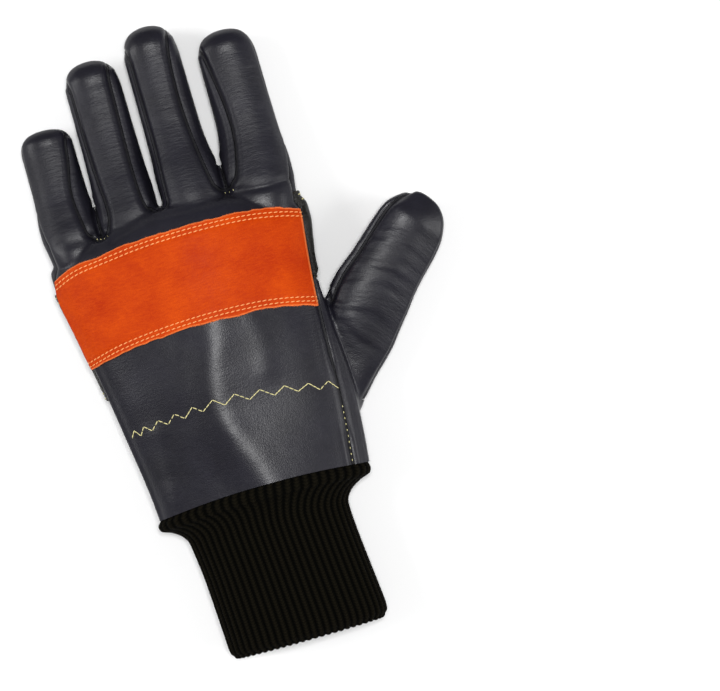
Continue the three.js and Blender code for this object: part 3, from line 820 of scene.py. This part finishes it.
inner = gloveForm("inner", -hand["leather"], 1.3, 4)
liftFolds(inner)
innerPoints = readPoints(inner)
writePoints(inner, innerPoints + readNormals(inner)
            * seamRoll(innerPoints, distanceTo(innerPoints, innerSeam, 9))[:, None])
shell = cut(outer, inner, "DIFFERENCE")
hemLeft, hemRight, hemTop = handRows[1][1] * handWidth, handRows[1][2] * handWidth, handRows[1][3]
hemX = np.linspace(hemLeft - 6, hemRight + 6, 41)
hemShare = (2 * hemX - hemLeft - hemRight) / (hemRight - hemLeft)
hemLine = columns(hemX, hemY + hand["hemArch"] * (1 - hemShare**2))
hemPlan = np.vstack([[(hemX[0], hemY - 60), (hemX[-1], hemY - 60)], hemLine[::-1]])
cut(shell, prism("hemTool", hemPlan, *allHeights), "DIFFERENCE")
print("shell", len(shell.data.vertices))

backPanel = cut(copyOf(shell, "back_hide"), backCutter(0), "INTERSECT")
front = cut(shell, backCutter(hand["gap"]), "DIFFERENCE")
fingerPanel = cut(copyOf(front, "finger_hide"), prism("fingerTool", fingerPlan, *through), "INTERSECT")
cut(front, prism("fingerTool", grown(fingerPlan, hand["gap"]), *through), "DIFFERENCE")
thumbPanel = cut(copyOf(front, "thumb_hide"), thumbCutter(0), "INTERSECT")
palmPanel = cut(front, thumbCutter(hand["gap"]), "DIFFERENCE")
for hide in (backPanel, palmPanel, fingerPanel, thumbPanel):
    addGrain(hide)
print("hides cut")

band = {"under": 0.28, "thick": 1.3, "round": 0.9, "waviness": 0.65, "rows": (2.0, 3.9),
        "pitch": 2.5, "pull": 0.3, "hole": 0.22}
patch = {"under": 0.28, "thick": 1.35, "round": 0.8, "waviness": 0.12, "rows": (1.6, 4.1),
         "pitch": 2.5, "pull": 0.28, "hole": 0.2}
farFromRim = 5    # nothing further in than this looks raw


def planLine(rows):    # from shares of the hand's width and length
    return smoothLine([(a * handWidth, hemY + b * handLength) for a, b in rows], 3)


bandLower = planLine([(-0.56, 0.527), (-0.48, 0.54), (-0.35, 0.567), (-0.1, 0.584), (0.17, 0.58),
                      (0.33, 0.56), (0.5, 0.52)])
bandUpper = planLine([(0.5, 0.85), (0.38, 0.884), (0.2, 0.908), (-0.15, 0.911), (-0.34, 0.893),
                      (-0.46, 0.884), (-0.56, 0.85)])
patchLower = planLine([(-0.62, 0.4), (-0.45, 0.43), (-0.27, 0.51), (0.36, 0.605), (0.44, 0.63),
                       (0.474, 0.67)])
patchUpper = planLine([(0.505, 0.93), (0.3, 0.905), (-0.22, 0.885), (-0.62, 0.8)])


def wavy(line, height, seed):    # a hand-cut edge
    steps = pathSteps(line)
    s = np.arange(0, steps[-1], 0.7)
    fine = columns(*[np.interp(s, steps, line[:, k]) for k in (0, 1)])
    fine[:, 1] += height * (0.65 * lumps(columns(s * 0.09, 0, seed))
                            + 0.35 * lumps(columns(s * 0.37, 0, seed + 9)))
    return np.vstack([fine, line[-1:]])


def swollen(name, amount, sunk):
    twin = copyOf(smooth, name)
    p, n = readPoints(twin), readNormals(twin)
    writePoints(twin, p + n * (amount + sunk)[:, None])
    return twin


def overlay(name, plan, sizes, sunk):
    sheet = swollen(name, sizes["under"] + sizes["thick"], sunk)
    twoSlots(sheet)
    cut(sheet, prism("outlineTool", plan, *allHeights), "INTERSECT")
    cut(sheet, swollen("underTool", sizes["under"], sunk), "DIFFERENCE")
    return sheet


def sewnLine(tree, lower, upper, sizes, centre, angles):    # the rows of stitches along both edges
    lines = [lower + [0, d] for d in sizes["rows"]] + [upper - [0, d] for d in sizes["rows"]]
    return np.vstack([spaced(rowAround(tree, line, centre, angles), sizes["pitch"]) for line in lines])


# rounds the sheet's edges, and pulls it in along the stitches and at their holes
def pressDown(sheet, skinTree, sizes, stitches, edgeDistance):
    p = readPoints(sheet)
    nearest = [skinTree.find_nearest(Vector(point)) for point in p]
    away = np.array([found[1][:] for found in nearest])
    skin = np.array([found[3] for found in nearest])
    share = np.clip((skin - sizes["under"]) / sizes["thick"], 0, 1)
    edge = edgeDistance(p)
    near = np.clip(1 - edge / sizes["round"], 0, 1)
    dent = 0.55 * sizes["thick"] * (1 - np.sqrt(1 - near**2 * 0.98))
    line = distanceTo(p, stitches[:, 0], 6)
    hole = distanceTo(p, ends(stitches, sizes["pitch"] / 2), 6)
    dent += sizes["pull"] * np.exp(-(line / 0.95) ** 2) + sizes["hole"] * np.exp(-(hole / 0.5) ** 2)
    writePoints(sheet, p - away * (share * dent)[:, None])
    writeAttribute(sheet, "rim", np.clip(edge, 0, farFromRim))


lowerWave = wavy(bandLower, band["waviness"], 1)
upperWave = wavy(bandUpper, band["waviness"], 2)
bandPlan = np.vstack([lowerWave, upperWave])
bandFloor = 22
orangeBand = overlay("orange_sheet", bandPlan, band, np.zeros(len(points)))
cut(orangeBand, allAbove("sideTool", [(-farAlong, bandFloor), (farAlong, bandFloor)]), "INTERSECT")
bandSeam = grown(backPlan, -0.4)
cut(orangeBand, prism("seamTool", bandSeam, through[0], allHeights[1]), "INTERSECT")
bandTree = treeOf(orangeBand)
bandCentre, overTop = (-5, 10), np.radians(np.linspace(176, 4, 700))
bandStitches = sewnLine(bandTree, bandLower, bandUpper, band, bandCentre, overTop)
pressDown(orangeBand, treeOf(smooth), band, bandStitches, lambda p: np.minimum(
    np.maximum(0, insideDistance(p, bandPlan)), np.abs(insideDistance(p, bandSeam))))

fuzzSeed = np.random.default_rng(7)
fuzz = []
for line, side in ((lowerWave, -1), (upperWave, 1)):
    hairs = spaced(rowAround(bandTree, line - [0, 0.25 * side], bandCentre, overTop), 0.42)
    count = len(hairs)
    turn = fuzzSeed.uniform(0.15, math.pi - 0.15, count)
    outward = np.cross(hairs[:, 2], hairs[:, 1])
    outward *= np.sign(outward[:, 1:2] * side)
    hairs[:, 1] = (hairs[:, 1] * np.cos(turn)[:, None] + outward * np.sin(turn)[:, None]
                   + hairs[:, 2] * fuzzSeed.uniform(-0.2, 0.3, (count, 1)))
    hairs[:, 1] *= fuzzSeed.uniform(0.4, 1.2, (count, 1))
    hairs[:, 0] += outward * 0.25 - hairs[:, 2] * fuzzSeed.uniform(0.3, 1.0, (count, 1))
    fuzz.append(hairs)
fuzz = np.vstack(fuzz)

patchPlan = np.vstack([wavy(patchLower, patch["waviness"], 3), wavy(patchUpper, patch["waviness"], 4)])
sunk = seamRoll(points, away)    # the patch goes down into the side seams with the palm
palmPatch = overlay("palm_patch", patchPlan, patch, sunk)
cut(palmPatch, backCutter(hand["gap"]), "DIFFERENCE")
underPalm = np.radians(np.linspace(176, 364, 700))
patchStitches = sewnLine(treeOf(palmPatch), patchLower, patchUpper, patch, (-5, 14), underPalm)
skin = swollen("skin", 0, sunk)
pressDown(palmPatch, treeOf(skin), patch, patchStitches,
          lambda p: np.maximum(0, insideDistance(p, patchPlan)))
discard(skin)
print("bands laid", len(bandStitches), len(patchStitches))

cuff = {
    "length": 68, "width": 72.5, "height": 30, "wall": 2.8, "ribs": 56, "ribDepth": 0.9,
    "pointsPerRib": 12, "courses": 90,
}
# along, roll, bulge, shift, hem
cuffRows = [
    (0.0, 1, -0.007, -0.003, 1),
    (0.035, 1, 0.008, -0.012, 0.95),
    (0.068, 0.94, 0.008, -0.014, 0.85),
    (0.1, 0.6, 0, -0.016, 0.7),
    (0.15, 0.24, 0, -0.022, 0.5),
    (0.22, 0.06, 0, -0.027, 0.3),
    (0.5, 0, 0.003, -0.006, 0),
    (0.92, 0, 0.012, 0.022, 0),
    (0.97, 0, 0.008, 0.022, 0),
    (1.0, 0, -0.012, 0.022, 0),
]


def cuffSections(grow, places):
    along, roll, bulge, shift, hem = throughRows(cuffRows, places).T
    bulge = bulge * cuff["width"]
    halfWide = (cuff["width"] * (1 - roll) + (hemRight - hemLeft) * roll) / 2 + bulge + grow
    hemCrown = hand["floor"] + (hand["height"] - hand["floor"]) * hemTop
    crown = cuff["height"] * (1 - roll) + hemCrown * roll + bulge + grow
    floor = hand["floor"] - grow
    sag = hand["sag"] * hand["height"]
    return columns(
        (hemLeft + hemRight) / 2 + shift * cuff["width"], hemY - 0.12 - along * cuff["length"],
        (crown + floor - sag) / 2, -1, 0, halfWide, (crown - floor + sag) / 2, floor,
        hem * hand["hemArch"])


def knitCuff():
    around = cuff["ribs"] * cuff["pointsPerRib"]
    down, wall = cuff["courses"], cuff["wall"]
    t, tuck = np.linspace(0, math.pi, 10)[1:-1], np.linspace(1, 0.1, 4)
    stretches = [    # how many rows, how far down the cuff, depth in the wall, past its end, ribbed
        (4, 0, 0.5 + tuck * 1.6, -0.5 - 4.5 * tuck, 0.4),    # tucked up under the hem
        (down, np.linspace(0, 1, down), 0, 0, 1),
        (8, 1, (1 - np.cos(t)) / 2 * wall, np.sin(t) * wall * 0.45, np.linspace(1, 0.3, 8)),
        (40, np.linspace(1, 0, 40), wall, 0, 0.3),    # up again inside
        (5, 0, np.linspace(wall, 2.4, 5), np.linspace(-0.8, -5, 5), 0.3),
    ]
    placeDown, depth, past, ribbed = (np.concatenate([
        np.full(stretch[0], stretch[k], dtype=float) for stretch in stretches]) for k in (1, 2, 3, 4))
    placeDown *= len(cuffRows) - 1
    minor = len(depth)
    obj = added(bpy.ops.mesh.primitive_torus_add, major_segments=around // 3, minor_segments=minor,
                major_radius=1, minor_radius=0.25)
    pairs = readPoints(obj)[readEdges(obj)] * mm
    roundTheWrist = np.abs(np.diff(np.arctan2(pairs[:, :, 1], pairs[:, :, 0]), axis=1))[:, 0] > 1e-3
    switchMode("EDIT")
    bpy.ops.mesh.select_mode(type="EDGE")
    bpy.ops.mesh.select_all(action="DESELECT")
    switchMode("OBJECT")
    obj.data.edges.foreach_set("select", roundTheWrist)
    switchMode("EDIT")
    bpy.ops.mesh.subdivide(number_cuts=2)    # each rib needs three times the torus's columns
    bpy.ops.mesh.select_mode(type="VERT")
    switchMode("OBJECT")
    unit = readPoints(obj) * mm
    turn = np.arctan2(unit[:, 1], unit[:, 0]) / (2 * math.pi) % 1
    lane = np.arctan2(unit[:, 2], np.hypot(unit[:, 0], unit[:, 1]) - 1) / (2 * math.pi) % 1
    column = np.rint(turn * around).astype(int) % around
    row = (np.rint(lane * minor).astype(int) - (3 * minor) // 4) % minor
    sections = cuffSections(0, placeDown)
    angle = np.linspace(0, 2 * math.pi, 2881)
    wide, high = (power(wave(angle), 2 / hand["squareness"]) for wave in (np.cos, np.sin))
    phase = np.arange(around) / cuff["pointsPerRib"]
    result, weave = np.zeros_like(unit), np.zeros_like(unit)
    for r in range(minor):
        s = sections[r]
        x, z = wide * s[5], np.maximum(s[7] - s[2], high * s[6])
        steps = np.concatenate([[0], np.cumsum(np.hypot(np.diff(x), np.diff(z)))])
        want = np.arange(around) / around * steps[-1]
        a, b = np.interp(want, steps, x), np.interp(want, steps, z)
        da, db = np.roll(a, -1) - np.roll(a, 1), np.roll(b, -1) - np.roll(b, 1)
        size = np.maximum(1e-9, np.hypot(da, db))
        na, nb = db / size, -da / size
        bearing = want / steps[-1] * 6.28
        drift = 0.35 * lumps(columns(np.cos(bearing) * 3, placeDown[r] * 0.5, np.sin(bearing) * 3))
        rib = np.abs(np.cos(math.pi * (phase + 0.12 * drift))) ** 1.1 - 1
        out = rib * cuff["ribDepth"] * ribbed[r] - depth[r] + drift * 0.5 * (depth[r] == 0)
        a, b = a + na * out, b + nb * out
        w = np.clip(a / s[5], -1, 1)
        mine = row == r
        k = column[mine]
        result[mine] = columns(
            s[0] - a[k], s[1] + s[8] * (1 - w[k] ** 2) - past[r] - 0.5 * rib[k] * max(0, past[r]),
            np.maximum(0.05, s[2] + b[k]))
        # the first value, the rib's crest, also drives painted shade: the knit's colour is darker in
        # the valleys between the ribs
        weave[mine] = columns(rib[k] + 1, np.cos(2 * math.pi * phase[k]), s[1] - past[r] + depth[r])
    joined = ramp(result[:, 1], hemY - 26, hemY - 4) * ramp(result[:, 2], 12, 22)
    result[:, 2] += foldHeight(result) * joined
    writePoints(obj, result)
    writeAttribute(obj, "weave", weave)
    return obj


knit = knitCuff()
print("knit", len(knit.data.vertices))

guard = {"thick": 1.4, "under": 0.3, "width": 68, "length": 66, "row": 1.7, "pitch": 2.5}
guardRows = [(0.0, 0.0), (-0.01, 0.2), (-0.02, 0.48), (0.0, 0.68), (0.07, 0.86), (0.18, 0.96),
             (0.33, 1.0), (0.46, 0.96), (0.58, 0.84), (0.68, 0.68), (0.77, 0.5), (0.87, 0.3),
             (1.0, 0.14), (0.86, 0.07)]    # across, along
guardPlan = smoothLine([
    (-0.26 * handWidth + a * guard["width"], hemY + 0.065 * handLength - b * guard["length"])
    for a, b in guardRows])


def wristForm(name, grow):
    hems = handSections(grow)
    hems = hems[(hems[:, 1] > hemY + 1) & (hems[:, 1] < hemY + 24)][::-1]
    hems[:, 3] = -1
    lower = cuffSections(grow, np.linspace(0.2, len(cuffRows) - 1, 80))
    tail = lower[-1:].copy()
    tail[:, 1] -= 4
    return loft(name, np.vstack([hems, lower, tail]), 128, hand["squareness"])


flap = wristForm("guard_flap", guard["under"] + guard["thick"])    # down to the floor
twoSlots(flap)
cut(flap, prism("guardTool", guardPlan, -40, 12), "INTERSECT")
cut(flap, wristForm("underTool", guard["under"]), "DIFFERENCE")
cut(flap, loft("thumbTool", thumbSections(hand["gap"]), 64, hand["fingerSquareness"]), "DIFFERENCE")
flapPoints = readPoints(flap)
flapEdge = np.clip(insideDistance(flapPoints, guardPlan), 0, farFromRim)
writeAttribute(flap, "rim", np.where(flapPoints[:, 1] > hemY + 6, farFromRim, flapEdge))
flapRow = rowDown(treeOf(flap), wavy(grown(guardPlan, -guard["row"])[3:-3], 0, 5), -1)
flapStitches = spaced(flapRow, guard["pitch"])
print("guard", len(flap.data.vertices), len(flapStitches))


class Socket:    # a shader node's output, for sums in the usual signs
    def __init__(self, paint, socket):
        self.paint, self.socket = paint, socket

    def math(self, operation, a, b):
        return self.paint.add("ShaderNodeMath", {"operation": operation}, {0: a, 1: b})

    def __add__(self, other): return self.math("ADD", self, other)
    def __rsub__(self, other): return self.math("SUBTRACT", other, self)
    def __mul__(self, other): return self.math("MULTIPLY", self, other)


class Paint:
    def __init__(self, name):
        self.material = bpy.data.materials.new(name)
        self.material.use_nodes = True
        self.tree = self.material.node_tree
        self.shader = self.tree.nodes["Principled BSDF"]

    def add(self, kind, settings=None, sockets=None, out=0):
        node = self.tree.nodes.new(kind)
        for key, value in (settings or {}).items():
            setattr(node, key, value)
        for key, value in (sockets or {}).items():
            self.feed(node.inputs[key], value)
        return Socket(self, node.outputs[out])

    def feed(self, target, value):
        if isinstance(value, Socket):
            self.tree.links.new(value.socket, target)
        else:
            target.default_value = value

    def set(self, **values):
        for key, value in values.items():
            self.feed(self.shader.inputs[key.replace("_", " ")], value)

    def stretched(self, spot, scale):
        return self.add("ShaderNodeMapping", {"vector_type": "POINT"}, {"Vector": spot, "Scale": scale})

    def place(self, *scale):    # Object coordinates in millimetres, times scale
        spot = self.add("ShaderNodeTexCoord", out=3)
        return self.stretched(spot, [s / mm for s in scale or (1, 1, 1)])

    def written(self, name, out):    # an attribute of the mesh, 1 as a vector or 2 as a number
        return self.add("ShaderNodeAttribute", {"attribute_name": name}, out=out)

    def axis(self, vector, k):
        return self.add("ShaderNodeSeparateXYZ", None, {0: vector}, out=k)

    def cloud(self, spot, scale, detail=2, roughness=0.5):
        return self.add("ShaderNodeTexNoise", None, {
            "Vector": spot, "Scale": scale, "Detail": detail, "Roughness": roughness})

    def cells(self, spot, scale):
        return self.add("ShaderNodeTexVoronoi", {"feature": "SMOOTH_F1"}, {
            "Vector": spot, "Scale": scale, "Smoothness": 0.35})

    def mix(self, share, a, b):
        return self.add("ShaderNodeMix", {"data_type": "RGBA"}, {0: share, 6: a, 7: b}, out=2)

    def between(self, value, low, high, outLow=0.0, outHigh=1.0):
        return self.add("ShaderNodeMapRange", {"interpolation_type": "SMOOTHSTEP"}, {
            0: value, 1: low, 2: high, 3: outLow, 4: outHigh})

    def bump(self, height, distance):
        return self.add("ShaderNodeBump", None, {
            "Height": height, "Distance": distance * mm, "Strength": 1})


def linear(r, g, b):    # from a screen colour, 0 to 255
    def one(c):
        c /= 255
        return c / 12.92 if c <= 0.04045 else ((c + 0.055) / 1.055) ** 2.4
    return (one(r), one(g), one(b), 1)


greyHide = {"dark": (16, 15, 23), "light": (28, 27, 37), "pebble": 1.7, "bump": 0.19, "wrinkle": 0.22,
            "roughness": (0.3, 0.37), "gloss": 0.33}
orangeHide = {"dark": (168, 42, 0), "light": (208, 76, 3), "pebble": 1.6, "bump": 0.1, "wrinkle": 0,
              "roughness": (0.46, 0.6), "gloss": 0.07}
blackHide = {"dark": (5, 4, 2), "light": (20, 16, 9), "pebble": 1.1, "bump": 0.35, "wrinkle": 0,
             "roughness": (0.34, 0.5), "gloss": 0.26}


def hideMaterial(name, hide, edgeTone=None):
    paint = Paint(name)
    spot = paint.place()
    warp = paint.cloud(spot, 0.35, 2)
    pebbles = paint.cells(spot, hide["pebble"])
    fine = paint.cloud(spot, 3.2, 3, 0.6)
    creases = paint.cloud(paint.place(0.3, 1.3, 0.6), 1.0, 3, 0.62)
    broad = paint.cloud(spot, 0.05, 2)
    height = pebbles * 0.5 + fine * 0.3 + creases * 0.6 + warp * 0.3
    tone = paint.between(fine * 0.4 + broad * 0.4 + creases * 0.25, 0.35, 0.75)
    low, high = hide["roughness"]
    colour = paint.mix(tone, linear(*hide["dark"]), linear(*hide["light"]))
    rough = paint.between(fine * 0.6 + warp * 0.4, 0.3, 0.7, low, high)
    if hide["wrinkle"]:    # fine wrinkles across the fingers and the thumb
        grain = paint.written("grain", 1)
        strong = paint.axis(grain, 2)
        lines = paint.cloud(paint.stretched(grain, (0.2, 0.72, 0)), 1.0, 3, 0.55)
        height = height * 0.4 + lines * strong * (hide["wrinkle"] / hide["bump"])
        # painted shade in the seams: near the seam lines the colour is mixed towards near black, and
        # the same mask also raises the roughness
        seamShade = paint.written("seamShade", 2)
        colour = paint.mix(seamShade * 0.75, colour, linear(9, 9, 12))
        rough = rough + strong * 0.16 + seamShade * 0.35
    if edgeTone:    # the cut edge shows the raw, fuzzy hide
        fuzz = paint.cloud(spot, 1.6, 4, 0.7)
        bare = 1 - paint.between(paint.written("rim", 2) + fuzz * 0.9, 0.6, 1.3)
        colour = paint.mix(bare, colour, linear(*edgeTone))
        height = height + bare * fuzz * 2.0
    paint.set(Base_Color=colour, Roughness=rough, Specular_IOR_Level=hide["gloss"],
              Normal=paint.bump(height, hide["bump"]))
    return paint.material


rawEdge = {"scale": 4.5, "detail": 3, "break": 0.7, "roughness": 0.95, "bump": 0.3}
twisted = {"scale": 5.0, "detail": 2, "break": 0.5, "roughness": 0.75, "bump": 0.08}


def fibreMaterial(name, kind, dark, light):
    paint = Paint(name)
    fibres = paint.cloud(paint.place(), kind["scale"], kind["detail"], kind["break"])
    paint.set(Base_Color=paint.mix(fibres, linear(*dark), linear(*light)),
              Roughness=kind["roughness"], Normal=paint.bump(fibres, kind["bump"]))
    return paint.material


def knitMaterial():
    paint = Paint("ribKnit")
    fluff = paint.cloud(paint.place(), 2.4, 3, 0.65)
    weave = paint.written("weave", 1)
    crest, leg, down = [paint.axis(weave, k) for k in range(3)]
    loops = paint.add("ShaderNodeMath", {"operation": "SINE"}, {0: down * 4.8 + leg * 1.7})
    height = fluff * 0.5 + loops * 0.25 + crest * 0.6
    # painted shade between the ribs: the tone follows the rib crest, so the valleys are painted darker
    # than the crests
    tone = crest * 0.5 + fluff * 0.4 + loops * 0.08
    paint.set(
        Base_Color=paint.mix(paint.between(tone, 0.3, 0.9), linear(1, 1, 0), linear(20, 17, 9)),
        Roughness=0.95, Specular_IOR_Level=0.06, Normal=paint.bump(height, 0.45))
    return paint.material


grey = hideMaterial("greyHide", greyHide)
guardHide = hideMaterial("guardHide", greyHide | {"wrinkle": 0}, (132, 134, 142))
orange = hideMaterial("orangeHide", orangeHide, (240, 122, 62))
black = hideMaterial("blackHide", blackHide, (40, 34, 24))
# painted shade: the grey hide's raw cut edges sit in the seam gaps and are coloured near black, so the
# seams read as dark shaded lines
greyEdgeInShade = fibreMaterial("greyRawEdgeInShade", rawEdge, (8, 8, 9), (20, 20, 23))
guardEdge = fibreMaterial("guardRawEdge", rawEdge, (120, 124, 134), (176, 178, 188))
orangeEdge = fibreMaterial("orangeRawEdge", rawEdge, (226, 92, 34), (250, 150, 90))
blackEdge = fibreMaterial("blackRawEdge", rawEdge, (7, 6, 4), (26, 21, 14))
knitYarn = knitMaterial()
paleThread = fibreMaterial("paleThread", twisted, (196, 186, 118), (238, 230, 176))
orangeThread = fibreMaterial("orangeThread", twisted, (238, 140, 72), (250, 184, 116))
print("materials made")


def finish(obj, name, slot, nodes, *materials, smoothAngle=45):
    obj.name = name
    obj.data.name = name
    obj.data.materials.clear()
    for material in materials:
        obj.data.materials.append(material)
    selectOnly(obj)
    bpy.ops.object.shade_smooth_by_angle(angle=math.radians(smoothAngle))
    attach(obj, "root")
    if nodes:
        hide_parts(*nodes)
    print("finished", name, len(obj.data.polygons))


hides = [(backPanel, "back"), (palmPanel, "palm"), (fingerPanel, "finger"), (thumbPanel, "thumb")]
for hide, name in hides:
    finish(hide, name + "_hide", "grey_leather", [name + "_panel"], grey, greyEdgeInShade)
finish(orangeBand, "orange_sheet", "orange_leather", ["orange_band"], orange, orangeEdge)
finish(palmPatch, "palm_patch", "black_leather", ["palm_reinforcement"], black, blackEdge)
finish(flap, "guard_flap", "guard_leather", ["wrist_guard"], guardHide, guardEdge)
finish(knit, "rib_knit", "black_knit", ["knit_cuff"], knitYarn, smoothAngle=70)

sewing = [    # name, slot, stitches, thread, smooth angle, half length, radius, lift, slant
    ("band_stitches", "orange_leather", bandStitches, orangeThread, 85, 1.02, 0.27, -0.12, 0.14),
    ("band_fuzz", "orange_leather", fuzz, orangeEdge, 45, 0.45, 0.055, 0, 0),
    ("palm_stitches", "black_leather", patchStitches, paleThread, 85, 1.02, 0.27, -0.12, 0.14),
    ("guard_stitches", "guard_leather", flapStitches, paleThread, 85, 1.02, 0.243, -0.05, 0.14),
    ("zigzag_stitches", "grey_leather", zigzagStitches, paleThread, 85, 1.15, 0.24, 0.06, 0.05),
    ("seam_stitches", "grey_leather", seamStitches, paleThread, 85, 0.5, 0.2, 0, 0),
]
for name, slot, stitches, thread, smoothAngle, *sizes in sewing:
    finish(sew(name, stitches, *sizes), name, slot, [], thread, smoothAngle=smoothAngle)
discard(smooth)

floor = added(bpy.ops.mesh.primitive_plane_add, size=8, location=(0, 0, -0.3 * mm))
floor.name = "floor"
floorPaint = Paint("paleFloor")
floorPaint.set(Base_Color=(0.9, 0.9, 0.9, 1), Roughness=0.9)
floor.data.materials.append(floorPaint.material)

lamps = [    # place, aim, size, watts
    ((0.14, 0.04, 2.15), (0.0, 0, 0), 0.42, 34),
    ((-1.7, 0.5, 1.2), (0.05, 0, 0), 1.0, 20),
    ((1.9, -0.6, 1.1), (0.05, 0, 0), 1.0, 20),
]
for spot, aim, size, watts in lamps:
    lamp = added(bpy.ops.object.light_add, type="AREA", location=spot)
    lamp.data.size = size
    lamp.data.energy = watts
    lamp.rotation_euler = (Vector(aim) - Vector(spot)).to_track_quat("-Z", "Y").to_euler()
world = bpy.data.worlds.new("studio")
world.use_nodes = True
sky = world.node_tree.nodes["Background"].inputs
sky["Color"].default_value, sky["Strength"].default_value = (1, 1, 1, 1), 0.2
bpy.context.scene.world = world
print("studio lit")
